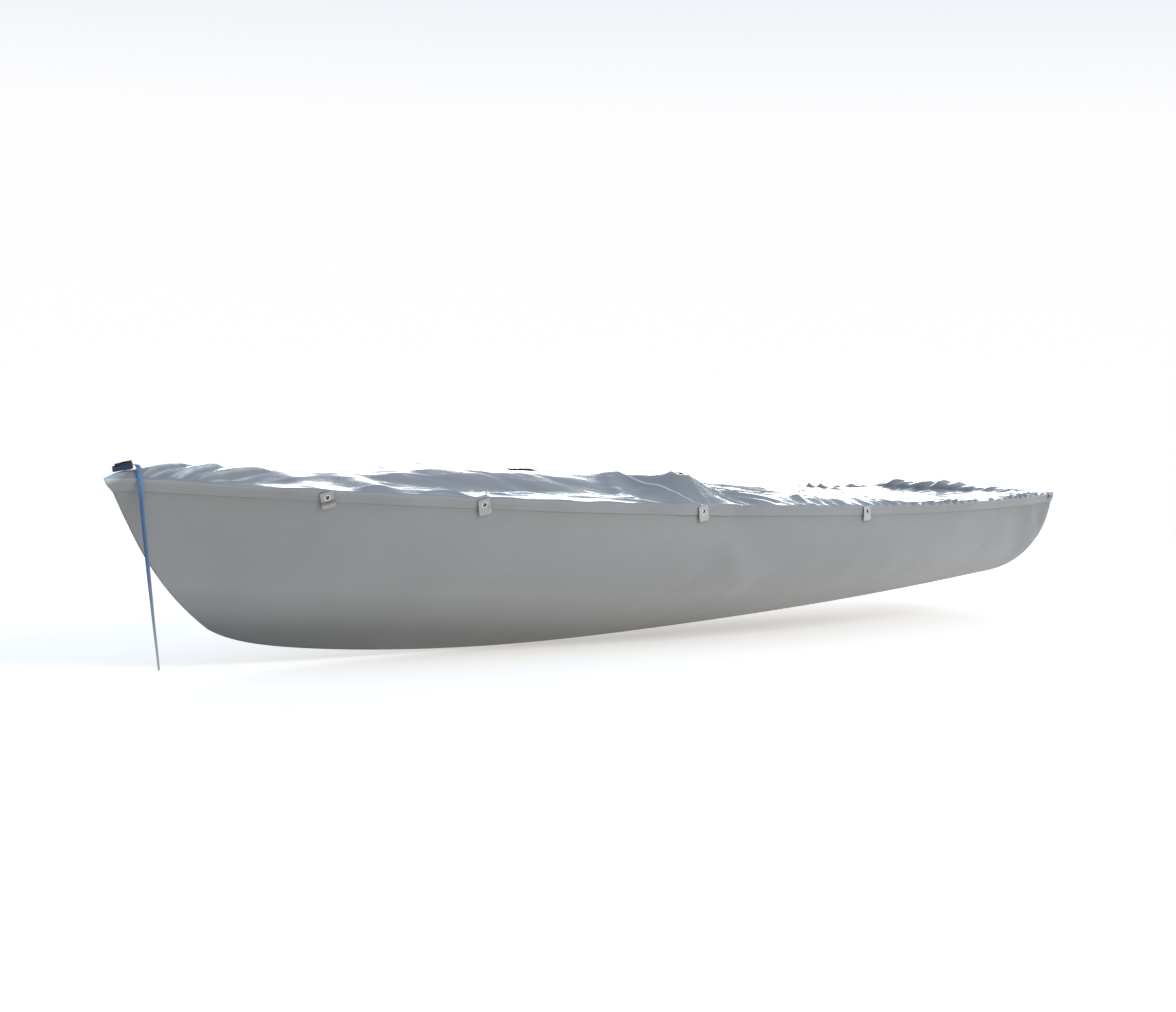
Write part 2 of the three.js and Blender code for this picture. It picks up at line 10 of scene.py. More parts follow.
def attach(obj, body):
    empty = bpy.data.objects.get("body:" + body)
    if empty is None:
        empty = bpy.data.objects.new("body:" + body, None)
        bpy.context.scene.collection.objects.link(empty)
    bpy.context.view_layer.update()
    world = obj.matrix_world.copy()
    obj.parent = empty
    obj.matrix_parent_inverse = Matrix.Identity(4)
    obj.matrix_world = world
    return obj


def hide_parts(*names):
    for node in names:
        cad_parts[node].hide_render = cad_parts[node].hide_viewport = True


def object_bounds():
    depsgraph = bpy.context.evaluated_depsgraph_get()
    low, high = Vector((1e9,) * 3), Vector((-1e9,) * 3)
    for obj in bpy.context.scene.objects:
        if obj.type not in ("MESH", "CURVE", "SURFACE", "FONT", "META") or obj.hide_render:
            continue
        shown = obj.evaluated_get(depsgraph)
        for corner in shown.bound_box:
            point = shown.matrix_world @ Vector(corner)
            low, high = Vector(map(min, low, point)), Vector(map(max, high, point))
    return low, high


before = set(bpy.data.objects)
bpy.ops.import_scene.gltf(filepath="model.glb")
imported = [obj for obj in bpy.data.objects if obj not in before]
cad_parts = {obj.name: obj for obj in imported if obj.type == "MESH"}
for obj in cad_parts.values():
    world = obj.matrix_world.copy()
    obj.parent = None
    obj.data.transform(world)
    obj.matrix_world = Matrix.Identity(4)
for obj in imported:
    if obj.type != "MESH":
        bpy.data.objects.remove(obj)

CAD_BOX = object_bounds()


def metres(*rows):
    """Rows of millimetres in metres."""
    return tuple(tuple(value / 1000 for value in row) for row in rows)


# Outline, in metres: x runs aft from the bow tip, y to starboard, z up from the edge amidships.
# A station is 0 at the bow and 1 at the stern; a drop is 0 at the edge and 1 at the keel line.
LENGTH = 6.05
HALF_BEAM = 0.89
STERN_HALF_BEAM = 0.6
WIDEST_STATION = 0.61
BOW_FULLNESS = 2.2
STEM_RAKE = 0.328
STEM_CURVE = 0.168
STEM_CURVE_POWER = 3.5
STERN_RAKE = 0.105
EDGE_HEIGHT = ((0, 0.115), (0.5, 0.0), (1, 0.025))
DEPTH = ((0, 0.655), (1 / 3, 0.675), (2 / 3, 0.575), (1, 0.48))
FOREFOOT_RISE = 0.05
FOREFOOT_REACH = 0.0254
BILGE_FALL = ((0, 1.15), (0.5, 2.35), (1, 2.25))
BILGE_SWELL = ((0, 1.0), (0.5, 1.35), (1, 2.6))
SIDES = {"port": -1, "starboard": 1}

# The row frame's origin in the outline's frame: the deck cloth's underside at mid-length.
REST = np.array((LENGTH / 2, 0.0, 0.1079))

# Cloth, seams and laps. The hem's gapes are x, reach, rise; a nose pair is a size and its reach aft.
CLOTH = 0.0012
DECK_OUT = 0.006
SKIRT = 0.048
SKIRT_FREE = 0.012
EDGE_TURN = 0.016
HEM = 0.024
HEM_STEP = 0.001
HEM_RAISE = 0.0011
HEM_FLARE = 0.005
HEM_FLARE_SHARE = 0.2
HEM_DRAW = 0.005
HEM_WAVE = 0.0014
HEM_NOISE = (6.0, 8.0, 91)
HEM_GAPES = metres((2470, 60, 6), (2680, 55, 6))
FLARE_SPAN = 1.2
NOSE_EASE = (0.003, 0.06)
NOSE_DROOP = (0.009, 0.055)
NOSE_TUCK = (0.01, 0.05)
NOSE_ROUND = 0.004
NOSE_RINGS = (1.0, 0.92, 0.7, 0.38)
SIDE_TOP = 0.02
STERN_LAP = 0.009
CROSS_SEAM_X = 2.575
SEAM_LAP = 0.012
SEAM_RAISE = 0.0018
SEAM_RISE_FROM = 0.016
SEAM_RISE_TO = 0.006
SEAM_GAP = 0.0006
SEAM_LINE = 0.004

# What each panel is cut from: its flat size in metres, and its area in square metres.
FORE_CUT = ((1.86, 2.66), 3.1)
AFT_CUT = ((1.98, 3.62), 6.35)
SIDE_CUT = ((1.12, 6.2), 5.79)
STERN_CUT = ((1.2, 0.49), 0.47)

# Height of the deck cloth above the edge along the centreline, in millimetres: x, height.
CROWN = metres(
    (0, 4), (70, 28), (205, 46), (450, 59), (800, 73), (1130, 86), (1650, 104), (2100, 120), (2500, 121),
    (2900, 118), (3300, 104), (3770, 80), (4105, 62), (4460, 24), (5200, -16), (5800, -16), (6050, 14),
)

# How the crown falls off from all of its height on the centreline to none at the edge: shares of the
# half-width, and at each x the shares of the height at the places between.
ACROSS = (0, 0.2, 0.4, 0.6, 0.78, 0.9, 1)
CROWN_FALL = (
    (0.0, 0.94, 0.8, 0.58, 0.35, 0.17),
    (0.34, 0.92, 0.72, 0.48, 0.28, 0.14),
    (0.5, 0.9, 0.6, 0.22, 0.115, 0.055),
    (0.66, 0.87, 0.6, 0.27, 0.13, 0.06),
    (0.9, 0.86, 0.63, 0.36, 0.18, 0.08),
    (1.03, 0.93, 0.8, 0.62, 0.42, 0.22),
    (1.16, 0.92, 0.7, 0.38, 0.2, 0.1),
    (1.35, 0.95, 0.76, 0.34, 0.15, 0.07),
    (1.6, 0.97, 0.84, 0.34, 0.14, 0.07),
    (2.0, 0.98, 0.86, 0.34, 0.14, 0.07),
    (2.4, 0.98, 0.82, 0.32, 0.14, 0.07),
    (2.9, 0.88, 0.64, 0.4, 0.2, 0.1),
    (3.6, 0.89, 0.74, 0.58, 0.44, 0.29),
    (4.1, 0.9, 0.72, 0.5, 0.34, 0.22),
    (4.5, 0.9, 0.66, 0.36, 0.14, 0.05),
    (6.05, 0.9, 0.66, 0.36, 0.14, 0.05),
)

# Spots where the cloth is lifted to a small round top, in millimetres: x, y, radius, height.
PEAKS = metres((2700, -600, 270, 102), (2700, 600, 270, 90), (1650, 40, 420, 34), (4460, 0, 330, 26))
PEAK_POWER = 1.7
PEAK_TOP = 0.042
PEAK_EDGE = 0.07

# Main folds of the deck cloth, ridges above zero and troughs below it, in millimetres:
# x1, y1, x2, y2, width, height.
FOLDS = metres(
    (176, -100, 640, 10, 48, 7),
    (280, -145, 930, -30, 55, 8),
    (360, -200, 930, -255, 60, -2),
    (1050, -420, 2340, -740, 70, 2),
    (1150, -290, 2200, -480, 90, -8),
    (2270, -740, 2600, -220, 55, 13),
    (2575, -845, 2590, -430, 45, -4),
    (240, 130, 760, 20, 50, 7),
    (420, 215, 1050, 190, 60, -11),
    (820, 330, 2200, 690, 70, 10),
    (1250, 300, 2150, 450, 80, -8),
    (2320, 720, 2600, 240, 60, 12),
    (2690, -580, 2520, -180, 80, 36),
    (2780, -560, 3080, -870, 60, 4),
    (2930, -480, 3350, -870, 70, 4),
    (2950, -300, 3750, -640, 90, -16),
    (4400, -60, 3540, -860, 85, 15),
    (4420, -90, 4010, -870, 75, 14),
    (4480, -90, 4340, -850, 75, 13),
    (2690, 580, 2520, 180, 70, 30),
    (2800, 560, 3420, 840, 75, 12),
    (3050, 420, 3900, 610, 95, -15),
    (4420, 80, 3650, 840, 85, 14),
    (4500, 90, 4250, 840, 80, 13),
    (4750, -520, 5650, -330, 110, -12),
    (4700, 460, 5600, 300, 110, -11),
)
EDGE_FOLD_SHARE = 0.25

# Sharper creases that stand on those folds, in millimetres: x1, y1, x2, y2, bow, near width, far width,
# height. The starboard half has them mirrored, moved aft and a little lower.
CREASES = metres(
    (105, -66, 400, 10, 6, 20, 60, 16),
    (180, -112, 560, -30, -8, 22, 66, 20),
    (280, -160, 740, -80, 10, 24, 74, 21),
    (520, -190, 980, -140, -16, 30, 90, 5),
    (778, -370, 950, -230, 10, 16, 40, 4),
    (778, -370, 660, -225, -10, 16, 40, 4),
    (900, -390, 1330, -500, 24, 45, 70, 7),
    (1180, -490, 1420, -540, 20, 35, 60, 8),
    (1432, -600, 1290, -440, 8, 20, 45, 8),
    (1432, -600, 1620, -420, -12, 20, 45, 9),
    (1180, -240, 1640, -200, 30, 50, 90, 8),
    (1560, -500, 1960, -520, 26, 50, 60, 8),
    (1700, -220, 2180, -260, -30, 50, 90, 8),
    (1980, -560, 2300, -770, 14, 40, 60, 10),
    (2290, -760, 2560, -250, 40, 70, 40, 5),
    (2640, -840, 2720, -640, 10, 18, 30, 7),
    (2600, -320, 2440, -120, 6, 80, 80, -18),
    (2730, -640, 2880, -860, 24, 30, 140, 13),
    (2800, -560, 3060, -870, -30, 35, 200, 18),
    (2900, -480, 3200, -880, 36, 35, 200, 15),
    (3020, -420, 3380, -700, -30, 30, 50, 10),
    (3130, -300, 3500, -640, 30, 35, 60, 10),
    (3250, -180, 3620, -480, -30, 35, 60, 10),
    (3300, -880, 3420, -620, -16, 30, 50, 14),
    (3430, -870, 3900, -400, 20, 30, 60, 12),
    (3600, -880, 4120, -340, -16, 26, 50, 11),
    (3757, -880, 4300, -260, 16, 22, 45, 10),
    (3900, -880, 4360, -240, -12, 22, 45, 10),
    (4130, -870, 4440, -200, 12, 22, 45, 9),
    (4620, -840, 4760, -640, 10, 20, 40, 8),
    (4720, -600, 4950, -780, 12, 22, 40, 7),
    (5350, -690, 5900, -430, 30, 35, 70, 10),
    (5520, -660, 6000, -520, -20, 30, 60, 12),
    (5700, -640, 6030, -350, 20, 30, 60, 12),
)
CREST_POWER = 0.6
CREST_FLAT = 0.6
STARBOARD_SHIFT = 0.11
STARBOARD_SHARE = 0.85

# Lines on the bow painted pale as highlights along the crests of the creases: x1, y1, x2, y2, bow, width,
# share.
BOW_CREST_HIGHLIGHTS = (
    (0.105, -0.066, 0.4, 0.01, 0.006, 0.004, 0.6),
    (0.12, -0.08, 0.44, -0.005, -0.004, 0.006, 0.8),
    (0.18, -0.114, 0.56, -0.032, -0.008, 0.004, 0.7),
    (0.205, -0.131, 0.5, -0.055, 0.004, 0.006, 0.9),
    (0.25, -0.15, 0.64, -0.055, -0.006, 0.004, 0.6),
    (0.28, -0.163, 0.74, -0.083, 0.01, 0.004, 0.7),
    (0.33, -0.178, 0.7, -0.115, -0.006, 0.006, 0.8),
)
BOW_CREST_HIGHLIGHTS_MEAN = 0.95
BOW_CREST_HIGHLIGHTS_SWING = 0.9
BOW_CREST_HIGHLIGHTS_WAVES = (7, 10)
BOW_CREST_HIGHLIGHTS_SEED = 64
BOW_CREST_HIGHLIGHTS_FROM_EDGE = (0.002, 0.022)

# Short folds that each tab pulls into the deck cloth.
TAB_X = (0.778, 1.432, 2.575, 3.757)
PATCH_X = 5.985
TAB_FOLD_LENGTH = 0.36
TAB_FOLD_WIDTH = 0.052
TAB_FOLD_HEIGHT = 0.004

# Broad gathers and fine puckers along the edge, with heights as x, height in millimetres; wrinkles along
# the stern rim. Noise is given as swings in each metre of x and of y, and a seed.
GATHER_PITCH = 0.255
GATHER_DRIFT = 0.9
GATHER_REACH = 0.17
GATHER_HEIGHT = metres((0, 0), (600, 2), (2400, 3), (3700, 3), (4600, 2), (6050, 2))
PUCKER_PITCH = 0.088
PUCKER_REACH = 0.065
PUCKER_HEIGHT = metres((0, 1), (500, 2), (2400, 2), (3600, 14), (4200, 38), (5500, 38), (6050, 8))
PUCKER_LEVEL = 0.7
PUCKER_DRIFT = 2.2
PUCKER_DRIFT_NOISE = (3.1, 0.8, 71)
PUCKER_MEAN = 0.6
PUCKER_SWING = 1.7
PUCKER_MOST = 1.5
PUCKER_NOISE = (5.3, 1.1, 72)
RIM_PITCH = 0.29
RIM_PHASE = 1.0
RIM_REACH = 0.15
RIM_HEIGHT = 0.003

# A ruffled lip that stands up along the stern, as y, height in millimetres, with the skirt under it;
# and a low lip on the far aft edge, as x, height.
STERN_LIP = metres((-600, 3), (-300, 6), (-220, 16), (-40, 22), (70, 30), (450, 28), (560, 6), (620, 0))
STERN_LIP_FOOT = 0.13
STERN_LIP_TOP = 0.055
STERN_GUTTER = 0.088
STERN_RUFFLE = 0.45
STERN_NOISE = (9, 19, 83)
STERN_WAVE = 0.003
STERN_WAVE_PHASE = 0.4
STERN_BELLY = 0.004
FAR_LIP = metres((4900, 0), (5400, 8), (5900, 12), (6050, 10))
FAR_LIP_REACH = 0.03

# Crumple of the stiff coating, as flat facets: size along x, size along y, height, in millimetres.
FACETS = metres((300, 140, 6), (130, 70, 4.4), (55, 36, 1.8))
FACET_SEEDS = (3, 13, 23)
FACET_WARP = 0.35
FACET_WARP_SCALE = 0.7
FACET_SLANT = 0.5
FACET_SHARE = ((0, 1.0), (0.36, 0.9), (0.46, 0.3), (0.95, 0.3), (1.1, 1.0), (6.05, 1.0))
FACET_EDGE = 0.13
FACET_EDGE_LOSS = 0.6
CRUMPLE_MEAN = 0.9
CRUMPLE_SWING = 1.1
CRUMPLE_NOISE = (1.9, 2.7, 61)

# Holes in the panels: x, y, radius.
POST_HOLES = ((2.29, 0.0, 0.062),)
WIRE_HOLES = ((2.7, -0.6, 0.011), (2.7, 0.6, 0.011))

# Soft folds of the side cover, in millimetres: x1, fall1, x2, fall2, width, height. Its slack is noise:
# height in metres, swings in each metre along and down, and a seed.
SIDE_FOLDS = metres(
    (2600, 50, 3150, 420, 60, 14),
    (2680, 50, 3420, 340, 90, -13),
    (800, 60, 1050, 350, 80, 3),
    (1450, 60, 1780, 400, 90, 3),
    (3780, 60, 4250, 340, 90, 4),
    (5350, 80, 5860, 360, 80, -12),
    (5520, 60, 5960, 240, 60, 11),
    (5700, 70, 5990, 180, 45, -9),
    (4700, 60, 5200, 300, 100, -4),
)
SIDE_FOLD_SHARE = {-1: 1.0, 1: 0.8}
SIDE_SLACK = ((0.0016, 1.7, 3.0, 31), (0.0007, 5.0, 9.0, 33))
SIDE_CALM_FALL = 0.04
SIDE_CALM_DROP = 0.86
SIDE_CALM_BOW = 0.02
SIDE_CALM_STERN = 0.985
STERN_BULGE = 0.003
STERN_SLACK = 0.0012
STERN_SLACK_NOISE = (4.0, 3.0, 41)

# Tabs on the skirt, and a smaller patch at each stern corner. Shaded rows are those of the eyelet's face
# that are painted near-black as the shade in its hole.
TAB = {"width": 0.056, "height": 0.068, "corner": 0.007, "drop": 0.038, "eyelet_up": 0.01, "shaded_rows": 1}
PATCH = {"width": 0.038, "height": 0.032, "corner": 0.006, "drop": 0.018, "eyelet_up": 0.0, "shaded_rows": 5}
TAB_SEED = 50
TAB_SEED_STEP = 10
PATCH_SEED = 97
TAB_GAP = 0.0015
TAB_BACK = 0.0004
TAB_CLOTH = 0.0022
TAB_CUT_SHARE = 0.88
TAB_RINGS = (0.0, 0.2, 0.4, 0.58, 0.74, 0.86, 0.94, 0.985, 1.0)
TAB_STEPS = 96
TAB_CURL = 0.004
TAB_CURL_FROM = 0.1
TAB_CURL_WAVES = 60
TAB_STITCH_INSET = 0.006
TAB_STITCH_WIDTH = 0.0016
TAB_STITCH_DEPTH = 0.0006
TAB_RIM_ROUND = 0.0015
TAB_ROUGH = 0.0003
TAB_ROUGH_WAVES = 70
OUTLINE_HALVINGS = 40
EYELET_BORE = 0.008
EYELET_BARREL = 0.0096
EYELET_FLANGE = 0.014
EYELET_FACE = 0.0033
EYELET_CROWN = 0.0021
EYELET_GAP = 0.0003
EYELET_LIP = (0.0006, 0.0002)
EYELET_STEPS = 48
EYELET_ROLL_STEPS = 9

# Bow strap: a loop of webbing standing on the nose, and a tail that hangs over the port edge. Each turn of
# the loop is an inset, a shift aft, a height above the foot and a phase. The tail's rows are x, y, z of its
# middle, and the heading and the rise of its face in degrees.
WEBBING = 0.02
WEBBING_THICKNESS = 0.0024
WEBBING_ACROSS = (-0.5, -0.46, -0.25, 0.0, 0.25, 0.46, 0.5)
WEBBING_DEPTH = (0.0, 0.4, 0.5, 0.5, 0.5, 0.4, 0.0)
RIB_PITCH = 0.0032
LOOP = {"x": 0.078, "half_length": 0.046, "half_width": 0.03, "bottom": 0.141, "height": 0.028, "tilt": -12}
LOOP_STEPS = 96
LOOP_SWAY = 0.0013
LOOP_SWAY_SHARE = 0.7
LOOP_LEAN = 0.22
LOOP_OVERLAP = 0.001
LOOP_TURNS = ((0.0016, 0.0, 0.0, 0.6), (0.011, 0.0055, LOOP["height"] - WEBBING + LOOP_OVERLAP, 2.0))
TAIL = (
    (0.136, 0.008, 0.16, -110, 90),
    (0.133, -0.008, 0.16, -110, 86),
    (0.129, -0.024, 0.155, -112, 72),
    (0.122, -0.04, 0.145, -114, 58),
    (0.113, -0.054, 0.131, -115, 45),
    (0.108, -0.064, 0.116, -115, 28),
    (0.106, -0.07, 0.099, -114, 10),
    (0.107, -0.072, 0.08, -110, 0),
    (0.11, -0.074, 0.045, -104, 0),
    (0.117, -0.075, -0.035, -98, 0),
    (0.127, -0.079, -0.13, -92, 0),
    (0.138, -0.083, -0.235, -87, 0),
    (0.15, -0.088, -0.345, -76, 0),
    (0.162, -0.092, -0.45, -67, 0),
    (0.174, -0.097, -0.55, -61, 0),
    (0.182, -0.1, -0.622, -58, 0),
)
TAIL_STEPS = 8

# Sewing thread: two rows along the hem, each this far below the edge.
STITCH_LENGTH = 0.0055
STITCH_PITCH = 0.0085
STITCH_RISE = 0.4
THREAD = 0.0006
HEM_ROWS = (SKIRT - HEM + 0.003, SKIRT - 0.004)
HEM_ROW_ENDS = (0.03, LENGTH - 0.02)
HEM_ROW_STEPS = 900

# Mesh steps. The deck's columns crowd towards the edge, and the rounding passes soften the turn there.
FORE_RINGS = 286
AFT_RINGS = 314
DECK_COLUMNS = 131
COLUMN_CROWDING = 0.25
FALLS = np.array((0.048, 0.0465, 0.04, 0.034, 0.0275, 0.025, 0.0235, 0.017, 0.011, 0.0055))
ROUNDING = (4, 4, 3, 3, 2)
SIDE_STATIONS = 220
SIDE_ROWS = 56
STATION_POWER = 1.08
STERN_ROWS = 40
STERN_COLUMNS = 61
NUDGE = 0.004
NOISE_CELLS = 256


# Shape
def through(rows, at):
    """The polynomial through a table's rows."""
    total = 0.0
    for a, value in rows:
        term = value
        for b, _ in rows:
            if b != a:
                term = term * (at - b) / (a - b)
        total = total + term
    return total


def row_before(places, at):
    """The number of the row that each point follows, never the last one."""
    return np.clip(np.searchsorted(places, at, side="right") - 1, 0, len(places) - 2)


def along(rows, at):
    """A smooth curve that passes each row of a long table and stays between near rows."""
    places, values = np.array(rows, float).T
    k = row_before(places, at)
    before, after = np.maximum(k - 1, 0), np.minimum(k + 2, len(places) - 1)
    span = places[k + 1] - places[k]
    t = np.clip((at - places[k]) / span, 0, 1)
    slope_a = (values[k + 1] - values[before]) / (places[k + 1] - places[before]) * span
    slope_b = (values[after] - values[k]) / (places[after] - places[k]) * span
    rise = t * t * (3 - 2 * t)
    return values[k] + (values[k + 1] - values[k]) * rise + t * (1 - t) * ((1 - t) * slope_a - t * slope_b)


def smooth(low, high, at):
    t = np.clip((at - low) / (high - low), 0, 1)
    return t * t * (3 - 2 * t)


def hump(distance, width):
    """A soft bell, 1 in its middle."""
    return np.exp(-((distance / width) ** 2))


def crown_fall(x, share):
    """The crown's share of its height at a point that lies this far across."""
    places = np.array([row[0] for row in CROWN_FALL])
    k = row_before(places, x)
    blend = smooth(places[k], places[k + 1], x)
    tables = [tuple(zip(ACROSS, (1, *row[1:], 0))) for row in CROWN_FALL]
    curves = np.stack([along(table, np.abs(share)) for table in tables])
    low = np.take_along_axis(curves, k[None], axis=0)[0]
    high = np.take_along_axis(curves, k[None] + 1, axis=0)[0]
    return low + (high - low) * blend


def depth_at(station):
    """Depth from the edge to the keel line, which turns up where it meets the stem."""
    return through(DEPTH, station) - FOREFOOT_RISE * np.exp(-station / FOREFOOT_REACH)


def half_beam(station):
    fore = HALF_BEAM * (1 - np.maximum(1 - station / WIDEST_STATION, 0) ** BOW_FULLNESS)
    astern = (station - WIDEST_STATION) / (1 - WIDEST_STATION)
    return np.where(station < WIDEST_STATION, fore, HALF_BEAM - (HALF_BEAM - STERN_HALF_BEAM) * astern**2)


def half_beam_at(x):
    return float(half_beam(np.array(x / LENGTH)))


def all_round(steps):
    """Angles all round, in this many equal steps."""
    return math.tau * np.arange(steps) / steps


def joined(*columns):
    """Points from columns of numbers that may differ in shape."""
    return np.stack(np.broadcast_arrays(*columns), axis=-1)


def side_point(station, drop, side):
    """A point of the side panels' outer face; side is -1 to port and 1 to starboard."""
    stem = STEM_RAKE * drop + STEM_CURVE * drop**STEM_CURVE_POWER
    stern = LENGTH - STERN_RAKE * drop
    swell = (1 - drop ** through(BILGE_FALL, station)) ** (1 / through(BILGE_SWELL, station))
    height = through(EDGE_HEIGHT, station) - depth_at(station) * drop
    return joined(stem + station * (stern - stem), side * half_beam(station) * swell, height)


def unit(vectors):
    return vectors / np.linalg.norm(vectors, axis=-1, keepdims=True)


def side_axes(station, drop, side):
    """Local axes on the side: aft along it, up along it, and out of it."""
    s = np.clip(station, NUDGE, 1 - NUDGE)
    d = np.clip(drop, NUDGE, 1 - NUDGE)
    aft = unit(side_point(s + NUDGE, d, side) - side_point(s - NUDGE, d, side))
    down = unit(side_point(s, d + NUDGE, side) - side_point(s, d - NUDGE, side))
    out = unit(side * np.cross(aft, down))
    up = unit((down * out).sum(-1, keepdims=True) * out - down)
    return np.cross(up, out), up, out


def random_table(seed, low, high):
    return np.random.default_rng(seed).uniform(low, high, (NOISE_CELLS, NOISE_CELLS))


def noise_field(x, y, field):
    """Smooth noise about zero; its field is swings in each unit of x and of y, and a seed."""
    u, v = x * field[0], y * field[1]
    turns = random_table(field[2], 0, math.tau)
    i, j = np.floor(u).astype(int), np.floor(v).astype(int)
    du, dv = u - i, v - j

    def corner(a, b):
        turn = turns[(i + a) % NOISE_CELLS, (j + b) % NOISE_CELLS]
        return np.cos(turn) * (du - a) + np.sin(turn) * (dv - b)

    su, sv = smooth(0, 1, du), smooth(0, 1, dv)
    low = corner(0, 0) * (1 - su) + corner(1, 0) * su
    high = corner(0, 1) * (1 - su) + corner(1, 1) * su
    return low * (1 - sv) + high * sv


def facet_noise(u, v, seed):
    """Flat three-cornered facets between random heights, one cell to each unit of u and v."""
    heights = random_table(seed, -1, 1)
    scale = FACET_WARP_SCALE
    warp_u = u + FACET_WARP * noise_field(u, v, (scale, scale, seed + 1))
    warp_v = v + FACET_WARP * noise_field(u, v, (scale, scale, seed + 2))
    slanted = warp_u + FACET_SLANT * warp_v
    i, j = np.floor(slanted).astype(int), np.floor(warp_v).astype(int)
    du, dv = slanted - i, warp_v - j

    def at(a, b):
        return heights[(i + a) % NOISE_CELLS, (j + b) % NOISE_CELLS]

    low = at(0, 0) + du * (at(1, 0) - at(0, 0)) + dv * (at(0, 1) - at(0, 0))
    high = at(1, 1) + (1 - du) * (at(0, 1) - at(1, 1)) + (1 - dv) * (at(1, 0) - at(1, 1))
    return np.where(du + dv < 1, low, high)


def peak_height(x, y, peak):
    px, py, radius, height = peak
    reach = (np.hypot(x - px, y - py) - PEAK_TOP) / (radius - PEAK_TOP)
    return height * (1 - np.clip(reach, 0, 1)) ** PEAK_POWER


def line_place(x, y, line, bow=0.0):
    """How far along a bowed line, as a share, and how far to its left a point lies."""
    x1, y1, x2, y2 = line
    dx, dy = x2 - x1, y2 - y1
    length = math.hypot(dx, dy)
    run = np.clip(((x - x1) * dx + (y - y1) * dy) / length**2, 0, 1)
    return run, ((y - y1) * dx - (x - x1) * dy) / length - bow * 4 * run * (1 - run)


def fold_height(x, y, fold):
    run, across = line_place(x, y, fold[:4])
    width, height = fold[4:]
    return height * np.sin(math.pi * run) * hump(across, width)


def crease_height(x, y, crease):
    """A ridge with a sharp crest, steeper on its near side than on its far side."""
    bow, near, far, height = crease[4:]
    run, off = line_place(x, y, crease[:4], bow)
    crest = np.clip(1 - np.where(off < 0, -off / near, off / far), 0, 1)
    return height * np.sin(math.pi * run) ** CREST_POWER * crest * (CREST_FLAT + (1 - CREST_FLAT) * crest)


def tab_folds():
    folds = []
    for x in TAB_X:
        for side in SIDES.values():
            edge = side * half_beam_at(x)
            inner = edge - side * min(TAB_FOLD_LENGTH, abs(edge))
            folds.append((x, edge, x, inner, TAB_FOLD_WIDTH, TAB_FOLD_HEIGHT))
    return folds


def starboard_creases():
    made = []
    for x1, y1, x2, y2, bow, near, far, height in CREASES:
        ends = (x1 + STARBOARD_SHIFT, -y1, x2 + STARBOARD_SHIFT, -y2)
        made.append((*ends, -bow, far, near, STARBOARD_SHARE * height))
    return made


ALL_FOLDS = (*FOLDS, *tab_folds())
ALL_CREASES = (*CREASES, *starboard_creases())


def crumple_height(x, y, from_edge):
    """Facets of several sizes, uneven from place to place and lower along the edge."""
    share = (CRUMPLE_MEAN + CRUMPLE_SWING * noise_field(x, y, CRUMPLE_NOISE)) * along(FACET_SHARE, x)
    share = share * (1 - FACET_EDGE_LOSS * hump(from_edge, FACET_EDGE))
    height = 0.0
    for (size_x, size_y, tall), seed in zip(FACETS, FACET_SEEDS):
        height = height + share * tall * facet_noise(x / size_x, y / size_y, seed)
    return height


def edge_height(x, y, from_edge):
    """Gathers and puckers along the edge, and the far edge's lip."""
    wave = np.cos(math.tau * x / GATHER_PITCH + GATHER_DRIFT * np.sin((x + y) / GATHER_PITCH))
    height = along(GATHER_HEIGHT, x) * wave * np.exp(-from_edge / GATHER_REACH)
    drift = PUCKER_DRIFT * noise_field(x, y, PUCKER_DRIFT_NOISE)
    pucker = PUCKER_LEVEL - np.abs(np.sin(math.pi * x / PUCKER_PITCH + drift))
    uneven = np.clip(PUCKER_MEAN + PUCKER_SWING * noise_field(x, y, PUCKER_NOISE), 0, PUCKER_MOST)
    height = height + along(PUCKER_HEIGHT, x) * pucker * uneven * np.exp(-from_edge / PUCKER_REACH)
    return height + np.where(y > 0, along(FAR_LIP, x), 0) * hump(from_edge, FAR_LIP_REACH)


def stern_height(x, y):
    """The ruffled lip along the stern."""
    lip = smooth(LENGTH - STERN_LIP_FOOT, LENGTH - STERN_LIP_TOP, x)
    scale_x, scale_y, seed = STERN_NOISE
    ruffle = 1 + STERN_RUFFLE * lip * facet_noise(x * scale_x, y * scale_y, seed)
    return lip * along(STERN_LIP, y) * ruffle


def deck_height(x, y, share, from_edge):
    """Height of the deck cloth above the edge at a point that lies this far across, from -1 to 1."""
    bell = crown_fall(x, share)
    calm = np.minimum(1, EDGE_FOLD_SHARE + from_edge / SKIRT)
    folded = crumple_height(x, y, from_edge)
    for fold in ALL_FOLDS:
        folded = folded + fold_height(x, y, fold)
    for crease in ALL_CREASES:
        folded = folded + crease_height(x, y, crease)
    peaks = sum(peak_height(x, y, peak) for peak in PEAKS)
    height = along(CROWN, x) * bell + np.minimum(1, from_edge / PEAK_EDGE) * peaks + calm * folded
    height = height + edge_height(x, y, from_edge) + stern_height(x, y)
    rim = np.exp(-np.maximum(LENGTH - x, 0) / RIM_REACH)
    return height + RIM_HEIGHT * rim * np.sin(math.tau * y / RIM_PITCH + RIM_PHASE) * bell


def hem_flare(x):
    """How far the hem stands off between the tabs, which hold it in."""
    held = np.array((0, *TAB_X, PATCH_X, LENGTH))
    k = row_before(held, x)
    span = held[k + 1] - held[k]
    share = np.clip((x - held[k]) / span, 0, 1)
    return HEM_FLARE * span / FLARE_SPAN * np.sin(math.pi * share) ** 2


def near_bow(x, pair):
    """A size at the bow tip that falls off aft over its reach."""
    return pair[0] * np.exp(-np.maximum(x, 0) / pair[1])


